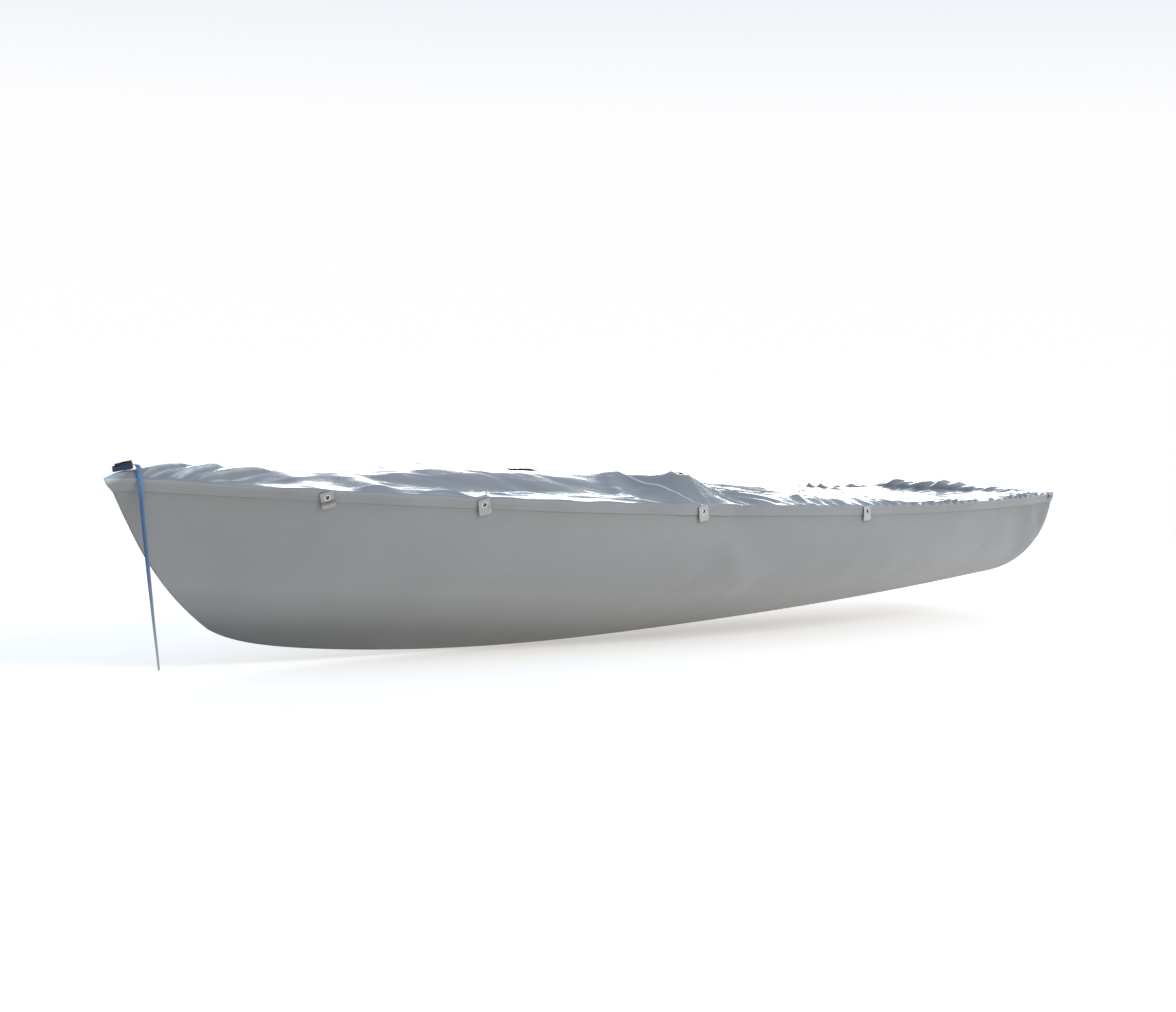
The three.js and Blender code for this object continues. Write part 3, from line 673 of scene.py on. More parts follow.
def skirt_point(x, fall, side, lift=0.0):
    """A point on the skirt this far below the edge, lifted off the cloth below it."""
    station = np.clip(x / LENGTH, 0, 1)
    drop = fall / depth_at(station)
    low = smooth(SKIRT_FREE, SKIRT, fall)
    wave = HEM_WAVE * noise_field(x, fall + side / HEM_NOISE[1], HEM_NOISE)
    gape = sum(rise * hump(x - middle, reach) for middle, reach, rise in HEM_GAPES)
    off = DECK_OUT + near_bow(x, NOSE_EASE) + low * (wave - HEM_DRAW) + gape * low**2
    off = off + HEM_FLARE_SHARE * hem_flare(x) * fall / SKIRT
    off = off + HEM_RAISE * smooth(SKIRT - HEM - HEM_STEP, SKIRT - HEM + HEM_STEP, fall) + lift
    point = side_point(station, drop, side) + side_axes(station, drop, side)[2] * np.asarray(off)[..., None]
    point[..., 0] += np.maximum(x - LENGTH, 0) + low * near_bow(x, NOSE_TUCK)
    point[..., 2] -= near_bow(x, NOSE_DROOP)
    return point


def round_edges(rings):
    """Rounds the turn from deck to skirt."""
    skirt = len(FALLS)
    for middle in (skirt, skirt + DECK_COLUMNS - 1):
        for reach in ROUNDING:
            low, high = middle - reach, middle + reach + 1
            part = rings[:, low - 1 : high + 1]
            rings[:, low:high] = 0.25 * part[:, :-2] + 0.5 * part[:, 1:-1] + 0.25 * part[:, 2:]
    return rings


def deck_rings(places, lift):
    """Rings of the deck cloth from hem to hem over the deck, and their places on the flat cloth."""
    x, fall = places[:, None], FALLS[None]
    port = skirt_point(x, fall, -1, lift[:, None])
    starboard = skirt_point(x, fall, 1, lift[:, None])[:, ::-1]
    edge = skirt_point(places, np.zeros(1), 1, lift)
    step = np.linspace(-1, 1, DECK_COLUMNS)
    share = ((1 + COLUMN_CROWDING) * step - COLUMN_CROWDING * step**3)[None]
    y = share * edge[:, 1:2]
    height = deck_height(x + 0 * y, y, share + 0 * y, edge[:, 1:2] - np.abs(y))
    level = through(EDGE_HEIGHT, np.clip(x / LENGTH, 0, 1)) - near_bow(x, NOSE_DROOP)
    deck = joined(edge[:, :1], y, level + height + lift[:, None])
    rings = np.concatenate((port, deck, starboard), axis=1)
    across = np.concatenate((y[:, :1] - fall, y, y[:, -1:] + fall[:, ::-1]), axis=1)
    return round_edges(rings), joined(x, across)


def bow_crest_highlights_share(points):
    """How pale these points are painted as highlights along the bow's crease crests, alike on both halves
    of the bow.
    """
    x, y = points[:, 0], -np.abs(points[:, 1])
    pale = np.zeros(len(points))
    for x1, y1, x2, y2, bow, width, share in BOW_CREST_HIGHLIGHTS:
        run, off = line_place(x, y, (x1, y1, x2, y2), bow)
        row = np.full_like(run, x1)
        patchy = BOW_CREST_HIGHLIGHTS_MEAN + BOW_CREST_HIGHLIGHTS_SWING * noise_field(run, row, (*BOW_CREST_HIGHLIGHTS_WAVES, BOW_CREST_HIGHLIGHTS_SEED))
        pale = np.maximum(pale, share * patchy * np.sin(math.pi * run) ** CREST_POWER * hump(off, width))
    edge = half_beam(np.clip(x / LENGTH, 0, 1)) + DECK_OUT
    return np.clip(pale, 0, 1) * smooth(*BOW_CREST_HIGHLIGHTS_FROM_EDGE, edge + y)


def skirt_share(rings):
    """For each point of these rings, 0 on the deck and 1 on the skirt."""
    turn = smooth(0.0, EDGE_TURN, FALLS)
    return np.tile(np.concatenate((turn, np.zeros(DECK_COLUMNS), turn[::-1])), rings)


# Meshes
def numbered(rows, columns, start=0):
    return start + np.arange(rows * columns).reshape(rows, columns)


def grid_faces(index):
    """Faces between the rows of a table of point numbers."""
    corners = (index[:-1, :-1], index[:-1, 1:], index[1:, 1:], index[1:, :-1])
    return np.stack([corner.ravel() for corner in corners], axis=1)


def tube_faces(rings, sides, closed=False):
    """Faces between closed rings of points; where closed, the last ring joins the first."""
    index = numbered(rings, sides)
    index = np.concatenate((index, index[:, :1]), axis=1)
    if closed:
        index = np.concatenate((index, index[:1]))
    return grid_faces(index)


def open_holes(points, faces, holes):
    """Cuts round holes: the faces that reach into a circle go, and the rim's points move onto it."""
    for hx, hy, radius in holes:
        away = points[:, :2] - (hx, hy)
        distance = np.hypot(*away.T)
        cut = (distance < radius)[faces].any(axis=1)
        rim = np.intersect1d(faces[cut], faces[~cut])
        points[rim, :2] = (hx, hy) + away[rim] * (radius / distance[rim])[:, None]
        faces = faces[~cut]
    return faces


def new_object(name, data):
    made = bpy.data.objects.new(name, data)
    bpy.context.scene.collection.objects.link(made)
    return made


def mesh_piece(name, points, faces, material, smooth_shade=True, **maps):
    """A mesh object in the row frame from points in the outline's frame; maps are its UV maps by name."""
    corners = faces.shape[1]
    used, faces = np.unique(faces, return_inverse=True)
    faces = faces.reshape(-1, corners)
    mesh = bpy.data.meshes.new(name)
    mesh.from_pydata((points.reshape(-1, 3)[used] - REST).tolist(), [], faces.tolist())
    for map_name, places in maps.items():
        layer = mesh.uv_layers.new(name=map_name)
        layer.data.foreach_set("uv", places.reshape(-1, 2)[used][faces.ravel()].astype(np.float32).ravel())
    mesh.materials.append(material)
    mesh.polygons.foreach_set("use_smooth", np.full(len(faces), smooth_shade))
    mesh.update()
    return new_object(name, mesh)


def settle(piece, slot, *nodes):
    """Fixes a piece to the cover and hides the solids it stands for."""
    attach(piece, "root")
    if nodes:
        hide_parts(*nodes)


def settle_sheet(piece, slot, node_name, flat, area, held, rests_on=(), thickness=CLOTH, offset=-1.0):
    """Gives a cloth its thickness, fixes it to the cover and hides the solids it stands for."""
    modifier = piece.modifiers.new("cloth", "SOLIDIFY")
    modifier.thickness = thickness
    modifier.offset = offset
    modifier.use_even_offset = False
    settle(piece, slot, node_name)


# Material nodes
WAVE_SCALE = math.pi / 10
BLACK = (0, 0, 0)
WHITE = (1, 1, 1)
BEFORE = -0.1


def feed(socket, value):
    """Joins a node's output to this input, or sets the input's own value."""
    if isinstance(value, bpy.types.NodeSocket):
        socket.id_data.links.new(value, socket)
    elif socket.type == "RGBA":
        socket.default_value = (*value, 1)
    else:
        socket.default_value = value


def node(tree, kind, inputs, **settings):
    """A shader node with these settings, and its inputs by name or number."""
    made = tree.nodes.new("ShaderNode" + kind)
    for key, value in settings.items():
        setattr(made, key, value)
    for key, value in inputs.items():
        feed(made.inputs[key], value)
    return made


def new_material(name):
    material = bpy.data.materials.new(name)
    material.use_nodes = True
    return material, material.node_tree


def dress(material, inputs):
    """Feeds the inputs of a material's shader."""
    shader = material.node_tree.nodes["Principled BSDF"]
    for key, value in inputs.items():
        feed(shader.inputs[key], value)
    return material


def ramp(tree, factor, stops):
    made = node(tree, "ValToRGB", {"Fac": factor})
    elements = made.color_ramp.elements
    while len(elements) < len(stops):
        elements.new(0.5)
    for element, (position, colour) in zip(elements, stops):
        element.position = position
        element.color = (*colour, 1)
    return made.outputs["Color"]


def maths(tree, operation, *values):
    return node(tree, "Math", dict(enumerate(values)), operation=operation).outputs["Value"]


def spread(tree, value, low, high, start=0.0, end=1.0):
    """A value that runs from start to end, spread from low to high."""
    inputs = {"Value": value, "From Min": start, "From Max": end, "To Min": low, "To Max": high}
    return node(tree, "MapRange", inputs).outputs["Result"]


def band(tree, value, low, high, fade):
    """White between two places in metres and black beyond them; the value is a share of the length."""
    masks = []
    for edge, first, second in ((low, 0, 1), (high, 1, 0)):
        start, end = (edge - fade / 2) / LENGTH, (edge + fade / 2) / LENGTH
        masks.append(spread(tree, value, first, second, start, end))
    return maths(tree, "MULTIPLY", *masks)


def cloth_coords(tree, scale_u, scale_v):
    places = node(tree, "UVMap", {}, uv_map="cloth").outputs["UV"]
    return node(tree, "Mapping", {"Vector": places, "Scale": (scale_u, scale_v, 1)}).outputs["Vector"]


def parts(tree, vector):
    """The first two numbers of a vector."""
    return node(tree, "SeparateXYZ", {"Vector": vector}).outputs[:2]


def waves(tree, direction, pitch, **inputs):
    """Waves of this pitch along a direction of the cloth."""
    inputs = {"Vector": cloth_coords(tree, 1 / pitch, 1 / pitch), "Scale": WAVE_SCALE, **inputs}
    return node(tree, "TexWave", inputs, wave_type="BANDS", bands_direction=direction).outputs["Fac"]


def weave_height(tree, pitch):
    """Height of a plain weave with this thread pitch."""
    return maths(tree, "MULTIPLY", waves(tree, "X", pitch), waves(tree, "Y", pitch))


def bump(tree, height, distance, strength, under=None):
    inputs = {"Height": height, "Distance": distance, "Strength": strength}
    if under is not None:
        inputs["Normal"] = under
    return node(tree, "Bump", inputs).outputs["Normal"]


def object_coords(tree):
    return node(tree, "TexCoord", {}).outputs["Object"]


def noise(tree, scale, detail=3.0, roughness=0.55):
    inputs = {"Vector": object_coords(tree), "Scale": scale, "Detail": detail, "Roughness": roughness}
    return node(tree, "TexNoise", inputs).outputs["Fac"]


def mixed(tree, factor, first, second, blend="MIX"):
    inputs = {0: factor, 6: first, 7: second}
    return node(tree, "Mix", inputs, data_type="RGBA", blend_type=blend).outputs[2]


# Thread pitches in metres, and how rough each cloth is at its smoothest and roughest.
COATED_WEAVE = 0.0016
SIDE_WEAVE = 0.0014
TAB_WEAVE = 0.0012
COATED_ROUGHNESS = (0.12, 0.24)
SIDE_ROUGHNESS = (0.42, 0.56)
TAB_ROUGHNESS = (0.5, 0.75)
METAL_ROUGHNESS = (0.2, 0.45)
WEBBING_ROUGHNESS = (0.5, 0.7)

# Colours, and the places in metres where they change: low, high, fade.
COATED_TONES = ((0.3, (0.205, 0.209, 0.214)), (0.7, (0.258, 0.262, 0.266)))
DUST = (0.28, 0.288, 0.292)
DUST_SHARE = 0.22
# A pale line painted along the cross seam as the highlight on its raised lap.
SEAM_HIGHLIGHT_TONE = (0.52, 0.56, 0.60)
SEAM_HIGHLIGHT_BAND = (CROSS_SEAM_X - SEAM_LINE, CROSS_SEAM_X + SEAM_LINE, 0.002)
# A pale patch painted on the nose's top as its highlight.
NOSE_HIGHLIGHT_TONE = (0.44, 0.52, 0.55)
NOSE_HIGHLIGHT_BAND = (BEFORE, 0.09, 0.05)
NOSE_HIGHLIGHT_ACROSS = (BEFORE, 0.022, 0.022)
# Painted shade: a dark band on the face at the stern lip's foot.
GUTTER_SHADE_TONE = (0.115, 0.124, 0.118)
GUTTER_SHADE_BAND = (LENGTH - STERN_LIP_FOOT, LENGTH - STERN_GUTTER, 0.03)
GUTTER_SHADE_ACROSS = (-0.24, 1.0, 0.1)
# Pale tone of the painted highlights along the bow's crease crests.
BOW_CREST_HIGHLIGHTS_TONE = (0.66, 0.68, 0.70)
SKIRT_TINT = (0.90, 0.885, 0.865)
# Painted shade: near-black on the cloth seen through the stern patch's eyelet hole.
HOLE_SHADE_TONE = (0.008, 0.008, 0.010)
HOLE_SHADE_BAND = (BEFORE, EYELET_BORE, 0.001)
SKIRT_ROUGHER = 0.24
COAT_WEIGHT = (0.5, 0.1)
SIDE_TONES = ((0.3, (0.212, 0.211, 0.209)), (0.72, (0.253, 0.252, 0.250)))
SIDE_SPECKS = (0.185, 0.187, 0.185)
SIDE_SPECK_SHARE = 0.3
# Brown stain just under the hem, then painted shade darkening the sides towards the keel.
SIDE_STAIN_AND_SHADE = (
    (0.045, (0.90, 0.87, 0.82)),
    (0.070, (0.96, 0.945, 0.92)),
    (0.12, WHITE),
    (0.42, WHITE),
    (0.52, (0.76, 0.77, 0.77)),
    (0.60, (0.43, 0.44, 0.44)),
    (0.68, (0.27, 0.28, 0.28)),
)
# Painted shade: the sides darker towards the bow and stern ends.
SIDE_SHADE = (
    (0.0, (0.93, 0.93, 0.92)),
    (0.25, WHITE),
    (0.80, (0.97, 0.97, 0.97)),
    (0.95, (0.81, 0.825, 0.82)),
    (1.0, (0.58, 0.61, 0.60)),
)
# Painted shadow: a brown bar below the first tab's eyelet, where the hem's shadow falls across the tab.
TAB_SHADOW_TONE = (0.50, 0.44, 0.41)
TAB_SHADOW_BAR = ((0.10, WHITE), (0.16, TAB_SHADOW_TONE), (0.25, TAB_SHADOW_TONE), (0.30, WHITE))
METAL_TONES = ((0.35, (0.40, 0.38, 0.35)), (0.6, (0.74, 0.74, 0.74)))
# Painted shade: near-black for the eyelets' bores and the faces next to them.
BORE_SHADE_TONES = ((0.3, (0.006, 0.006, 0.008)), (0.7, (0.020, 0.021, 0.024)))
THREAD_TONES = ((0.3, (0.22, 0.23, 0.24)), (0.7, (0.36, 0.37, 0.38)))
FLOOR_TONES = ((0.3, (0.88, 0.85, 0.81)), (0.7, (0.92, 0.89, 0.85)))
FLOOR_GLOW = {"Emission Color": (1, 0.97, 0.93), "Emission Strength": 0.42}
RIB_TONES = ((0.0, (0.62, 0.62, 0.62)), (0.6, (0.95, 0.95, 0.95)), (1.0, WHITE))
WORN_TONE = (0.16, 0.24, 0.36)
# Painted light: the lighter lit edge of the tail's face.
WEBBING_LIT_EDGE_TONE = (0.24, 0.32, 0.42)
# Tones along the tail, with a paler stretch painted near its top as the highlight where it turns over the
# edge.
TAIL_TONES_WITH_HIGHLIGHT = (
    (0.0, (0.03, 0.08, 0.19)),
    (0.05, (0.13, 0.26, 0.44)),
    (0.12, (0.08, 0.18, 0.34)),
    (0.19, (0.028, 0.075, 0.20)),
    (0.40, (0.035, 0.085, 0.19)),
    (0.48, (0.095, 0.115, 0.175)),
    (0.84, (0.38, 0.39, 0.42)),
)
LOOP_DARK = (0.005, 0.012, 0.032)
LOOP_TONES = ((0.0, LOOP_DARK), (0.12, (0.010, 0.024, 0.065)), (0.24, LOOP_DARK))


# Materials
def coated_material():
    """The deck's glossy coated cloth: blue-grey, with fine creases and a faint weave under the coating,
    painted highlights on the nose, along the cross seam and along the bow's crease crests, and painted
    shade at the stern lip's foot and in the stern patch's eyelet hole.
    """
    material, tree = new_material("coated_cloth")
    tone = ramp(tree, noise(tree, 2.6, 5.0), COATED_TONES)
    tone = mixed(tree, spread(tree, noise(tree, 34.0, 4.0, 0.7), 0.0, DUST_SHARE), tone, DUST)
    x, y = parts(tree, cloth_coords(tree, 1 / LENGTH, 1 / LENGTH))
    across = maths(tree, "ABSOLUTE", y)
    # Painted highlight along the cross seam.
    tone = mixed(tree, band(tree, x, *SEAM_HIGHLIGHT_BAND), tone, SEAM_HIGHLIGHT_TONE)
    # Painted highlight on the nose's top.
    nose = maths(tree, "MULTIPLY", band(tree, x, *NOSE_HIGHLIGHT_BAND), band(tree, across, *NOSE_HIGHLIGHT_ACROSS))
    tone = mixed(tree, nose, tone, NOSE_HIGHLIGHT_TONE)
    # Painted shade on the stern lip's foot.
    gutter_shade = maths(tree, "MULTIPLY", band(tree, x, *GUTTER_SHADE_BAND), band(tree, y, *GUTTER_SHADE_ACROSS))
    tone = mixed(tree, gutter_shade, tone, GUTTER_SHADE_TONE)
    # The skirt's share, and the painted highlights along the bow's crease crests.
    skirt, bow_crest_highlights = parts(tree, node(tree, "UVMap", {}, uv_map="wear").outputs["UV"])
    tone = mixed(tree, bow_crest_highlights, tone, BOW_CREST_HIGHLIGHTS_TONE)
    tone = mixed(tree, skirt, tone, mixed(tree, 1.0, tone, SKIRT_TINT, "MULTIPLY"))
    # Painted shade in the stern patch's eyelet hole, mixed into the base colour below.
    spot = node(tree, "CombineXYZ", {"X": x, "Y": across}).outputs["Vector"]
    patch_y = half_beam_at(PATCH_X) + DECK_OUT + PATCH["drop"]
    bore = (PATCH_X / LENGTH, patch_y / LENGTH, 0)
    away = node(tree, "VectorMath", {0: spot, 1: bore}, operation="DISTANCE").outputs["Value"]
    rough = spread(tree, noise(tree, 9.0, 4.0), *COATED_ROUGHNESS)
    coords = object_coords(tree)
    bent = node(tree, "TexNoise", {"Vector": coords, "Scale": 5.0, "Detail": 2.0}).outputs["Color"]
    cells = {"Vector": mixed(tree, 0.12, coords, bent), "Scale": 13.0}
    cracks = node(tree, "TexVoronoi", cells, feature="DISTANCE_TO_EDGE").outputs["Distance"]
    fine = bump(tree, weave_height(tree, COATED_WEAVE), 0.00025, 0.35)
    soft = bump(tree, noise(tree, 16.0), 0.0015, 0.4, fine)
    inputs = {
        "Base Color": mixed(tree, band(tree, away, *HOLE_SHADE_BAND), tone, HOLE_SHADE_TONE),
        "Roughness": maths(tree, "MULTIPLY_ADD", skirt, SKIRT_ROUGHER, rough),
        "IOR": 1.52,
        "Coat Weight": spread(tree, skirt, *COAT_WEIGHT),
        "Coat Roughness": 0.08,
        "Normal": bump(tree, ramp(tree, cracks, ((0.0, BLACK), (0.09, WHITE))), 0.0006, 0.4, soft),
    }
    return dress(material, inputs)


def side_material():
    """The sides' smooth satin cloth: mid grey, faintly mottled, a little browner under the hem, with
    painted shade darker towards the keel and towards the bow and stern ends.
    """
    material, tree = new_material("side_cloth")
    tone = ramp(tree, noise(tree, 1.3, 5.0), SIDE_TONES)
    tone = mixed(tree, spread(tree, noise(tree, 22.0, 5.0, 0.7), 0.0, SIDE_SPECK_SHARE), tone, SIDE_SPECKS)
    reach, fall = parts(tree, cloth_coords(tree, 1 / LENGTH, 1))
    # Brown stain under the hem, and painted shade towards the keel.
    tone = mixed(tree, 1.0, tone, ramp(tree, fall, SIDE_STAIN_AND_SHADE), "MULTIPLY")
    fine = bump(tree, weave_height(tree, SIDE_WEAVE), 0.00025, 0.35)
    # Painted shade darkens the base colour towards the bow and stern ends.
    inputs = {
        "Base Color": mixed(tree, 1.0, tone, ramp(tree, reach, SIDE_SHADE), "MULTIPLY"),
        "Roughness": spread(tree, noise(tree, 6.0, 4.0), *SIDE_ROUGHNESS),
        "Sheen Weight": 0.12,
        "Normal": bump(tree, noise(tree, 3.2), 0.02, 0.18, fine),
    }
    return dress(material, inputs)


def tab_material(name, dull, bright, shadow_barred=False):
    """Stiff weathered cloth; a shadow-barred tab has a brown bar of painted shadow below its eyelet."""
    material, tree = new_material(name)
    tone = ramp(tree, noise(tree, 45.0, 5.0, 0.7), ((0.3, dull), (0.7, bright)))
    if shadow_barred:
        # Painted shadow bar below the eyelet.
        down = parts(tree, cloth_coords(tree, 10, 10))[1]
        tone = mixed(tree, 1.0, tone, ramp(tree, down, TAB_SHADOW_BAR), "MULTIPLY")
    inputs = {
        "Base Color": tone,
        "Roughness": spread(tree, noise(tree, 30.0), *TAB_ROUGHNESS),
        "Normal": bump(tree, weave_height(tree, TAB_WEAVE), 0.0003, 0.6),
    }
    return dress(material, inputs)


def metal_material():
    material, tree = new_material("eyelet_metal")
    tone = ramp(tree, noise(tree, 120.0, 4.0, 0.7), METAL_TONES)
    rough = spread(tree, noise(tree, 200.0), *METAL_ROUGHNESS)
    return dress(material, {"Base Color": tone, "Roughness": rough, "Metallic": 1.0})


def plain_material(name, scale, tones, roughness, inputs):
    """A dull material, mottled between two tones."""
    material, tree = new_material(name)
    tone = ramp(tree, noise(tree, scale), tones)
    return dress(material, {"Base Color": tone, "Roughness": roughness, **inputs})


def webbing_material(name, stops, worn_share, lit_edge_share):
    """Webbing with ribs across it, worn paler in spots; its colour changes along its length, in metres, as
    given by the stops, which for the tail hold a painted highlight where it turns over the edge; one edge
    may be painted lighter as its lit side.
    """
    material, tree = new_material(name)
    ribs = waves(tree, "Y", RIB_PITCH, **{"Distortion": 1.2, "Detail Scale": 2.0})
    across, run = parts(tree, cloth_coords(tree, 1, 1))
    tone = mixed(tree, 1.0, ramp(tree, run, stops), ramp(tree, ribs, RIB_TONES), "MULTIPLY")
    worn = noise(tree, 60.0, 5.0, 0.7)
    tone = mixed(tree, spread(tree, worn, 0.0, worn_share), tone, WORN_TONE)
    # One edge of the band painted lighter as its lit side.
    edge = spread(tree, across, 0.0, lit_edge_share, 0.1 * WEBBING, -0.5 * WEBBING)
    inputs = {
        "Base Color": mixed(tree, edge, tone, WEBBING_LIT_EDGE_TONE),
        "Roughness": spread(tree, worn, *WEBBING_ROUGHNESS),
        "Normal": bump(tree, ribs, 0.0006, 0.6),
    }
    return dress(material, inputs)


COATED = coated_material()
SATIN = side_material()
TAB_CLOTHS = (
    tab_material("tab_cloth_stained", (0.25, 0.25, 0.235), (0.34, 0.34, 0.32), True),
    tab_material("tab_cloth_grey", (0.25, 0.255, 0.255), (0.34, 0.345, 0.345)),
    tab_material("tab_cloth_beige", (0.31, 0.305, 0.285), (0.41, 0.405, 0.385)),
    tab_material("tab_cloth_pale", (0.32, 0.34, 0.345), (0.42, 0.445, 0.455)),
)
METAL = metal_material()
BORE_SHADE = plain_material("eyelet_bore_shade", 150.0, BORE_SHADE_TONES, 0.9, {"Specular IOR Level": 0.1})
BLUE = webbing_material("webbing", TAIL_TONES_WITH_HIGHLIGHT, 0.18, 0.45)
NAVY = webbing_material("webbing_loop", LOOP_TONES, 0.05, 0.0)
SEWING = plain_material("thread", 300.0, THREAD_TONES, 0.6, {})

# Camera, at the photo's viewing angle
IMAGE_WIDTH = 1176
FOCAL_PIXELS = 2201.41
SENSOR = 36.0
CLIP_END = 300
EYE = Vector((-8.064, -6.842, 0.211))
LOOK = Vector((0.7513, 0.6591, -0.0337)).normalized()
LEVEL = Vector((0.6599, -0.7511, 0.019)).normalized()


def make_camera():
    lens = bpy.data.cameras.new("camera")
    lens.sensor_width = SENSOR
    lens.lens = SENSOR * FOCAL_PIXELS / IMAGE_WIDTH
    lens.clip_end = CLIP_END
    camera = new_object("camera", lens)
    turn = Matrix((LEVEL, LEVEL.cross(LOOK), -LOOK)).transposed()
    camera.matrix_world = Matrix.Translation(EYE) @ turn.to_4x4()
    bpy.context.scene.camera = camera


make_camera()


# Bow strap
def run_along(line):
    """The distance run at each point of a line."""
    return np.r_[0, np.cumsum(np.linalg.norm(np.diff(line, axis=0), axis=1))]


def strap_shape(centres, wide, thick, closed):
    """Webbing along a line of centres: a flat band with rounded edges."""
    across = np.array(WEBBING_ACROSS) * WEBBING
    depth = np.array(WEBBING_DEPTH) * WEBBING_THICKNESS
    section = np.concatenate((joined(across, depth), joined(across, -depth)[-2:0:-1]))
    rings = centres[:, None] + section[:, :1] * wide[:, None] + section[:, 1:] * thick[:, None]
    count, sides = rings.shape[:2]
    quads = tube_faces(count, sides, closed)
    cloth = joined(section[None, :, 0], run_along(centres)[:, None]).reshape(-1, 2)
    if not closed:
        ends = []
        for ring, flip in ((0, -1), (count - 1, 1)):
            for k in range(sides // 2):
                end = np.array((k, k + 1, sides - k - 1, (sides - k) % sides))
                ends.append((ring * sides + end)[::flip])
        quads = np.concatenate((quads, np.array(ends)))
    return rings.reshape(-1, 3), quads, cloth


def through_points(rows, steps):
    """A smooth curve through rows of numbers, with this many steps between rows."""
    rows = np.array(rows, float)
    padded = np.concatenate((2 * rows[:1] - rows[1:2], rows, 2 * rows[-1:] - rows[-2:-1]))
    made = []
    for k in range(1, len(padded) - 2):
        a, b, c, d = padded[k - 1 : k + 3]
        square, cube = 2 * a - 5 * b + 4 * c - d, 3 * (b - c) + d - a
        for t in np.arange(steps) / steps:
            made.append(0.5 * (2 * b + (c - a) * t + square * t**2 + cube * t**3))
    made.append(rows[-1])
    return np.array(made)


def strap_tail():
    route = through_points(TAIL, TAIL_STEPS)
    centres = route[:, :3]
    heading, rise = np.radians(route[:, 3:]).T
    face = joined(np.cos(heading) * np.cos(rise), np.sin(heading) * np.cos(rise), np.sin(rise))
    run = unit(np.gradient(centres, axis=0))
    wide = unit(np.cross(run, face))
    points, quads, cloth = strap_shape(centres, wide, np.cross(wide, run), False)
    piece = mesh_piece("strap_tail_webbing", points, quads, BLUE, cloth=cloth)
    settle(piece, "webbing", "strap_tail")


def loop_turn(inset, shift, low, phase):
    """One turn of the loop's webbing, set in from its outer size, this far above its foot."""
    turn = all_round(LOOP_STEPS)
    swing = LOOP_SWAY * (np.sin(2 * turn + phase) + LOOP_SWAY_SHARE * np.sin(3 * turn + 2 * phase))
    reach = swing - inset - WEBBING_THICKNESS / 2
    long = (LOOP["half_length"] + reach) * np.cos(turn)
    broad = (LOOP["half_width"] + reach) * np.sin(turn)
    centres = joined(long, broad, low + WEBBING / 2 + swing)
    run = unit(np.roll(centres, -1, 0) - np.roll(centres, 1, 0))
    out = joined(run[:, 1], -run[:, 0], 0)
    wide = unit(np.array((0, 0, 1.0)) + LOOP_LEAN * np.sin(2 * turn + phase)[:, None] * out)
    lean = np.array(Matrix.Rotation(math.radians(LOOP["tilt"]), 3, "Y")).T
    place = np.array((LOOP["x"] + shift, 0, LOOP["bottom"]))
    return strap_shape(centres @ lean + place, wide @ lean, unit(np.cross(run, wide)) @ lean, True)


def strap_loop():
    """Two turns of webbing, one inside the other and a little higher."""
    first, second = (loop_turn(*row) for row in LOOP_TURNS)
    points = np.concatenate((first[0], second[0]))
    quads = np.concatenate((first[1], second[1] + len(first[0])))
    cloth = np.concatenate((first[2], second[2]))
    settle(mesh_piece("strap_loop_webbing", points, quads, NAVY, cloth=cloth), "webbing", "strap_loop")


strap_tail()
strap_loop()


# Side cover
def side_drops(depth, rows):
    """Drops from the side's top to the keel line, closer together near the keel."""
    top = np.arcsin(SIDE_TOP / depth)
    return np.sin(top + (math.pi / 2 - top) * np.linspace(0, 1, rows))


def side_panel(name, side):
    station = np.linspace(0, 1, SIDE_STATIONS + 1)[:, None] ** STATION_POWER
    depth = depth_at(station)
    drop = side_drops(depth, SIDE_ROWS + 1)
    points = side_point(station, drop, side)
    x, fall = points[..., 0], drop * depth
    sag = sum(tall * noise_field(x, fall, (u, v, seed + side)) for tall, u, v, seed in SIDE_SLACK)
    sag = sag + SIDE_FOLD_SHARE[side] * sum(fold_height(x, fall, fold) for fold in SIDE_FOLDS)
    calm = smooth(SIDE_TOP, SKIRT + SIDE_CALM_FALL, fall) * smooth(1.0, SIDE_CALM_DROP, drop)
    calm = calm * smooth(0, SIDE_CALM_BOW, station) * smooth(1, SIDE_CALM_STERN, station)
    cloth = joined(x, fall)
    points = points + side_axes(station, drop, side)[2] * (sag * calm)[..., None]
    points[..., 1] = side * np.maximum(side * points[..., 1], SEAM_GAP / 2)
    faces = grid_faces(numbered(SIDE_STATIONS + 1, SIDE_ROWS + 1))[:, ::-side]
    piece = mesh_piece(f"side_{name}_cloth", points, faces, SATIN, cloth=cloth)
    settle_sheet(piece, "side_cloth", f"side_{name}", *SIDE_CUT, "stretched")


def stern_panel():
    depth = float(depth_at(1.0))
    drop = side_drops(depth, STERN_ROWS)[:, None]
    edge = side_point(np.ones(1), drop, 1)
    share = np.linspace(-1, 1, STERN_COLUMNS)[None]
    y = share * edge[..., 1]
    slack = STERN_BULGE * np.sin(math.pi * drop) + STERN_SLACK * noise_field(y, drop, STERN_SLACK_NOISE)
    x = LENGTH + SEAM_GAP - STERN_RAKE * drop + slack * (1 - share**2)
    faces = grid_faces(numbered(STERN_ROWS, STERN_COLUMNS))[:, ::-1]
    cloth = joined(y, drop * depth)
    piece = mesh_piece("stern_cloth", joined(x, y, edge[..., 2]), faces, SATIN, cloth=cloth)
    settle_sheet(piece, "side_cloth", "stern_panel", *STERN_CUT, "stretched", offset=1.0)


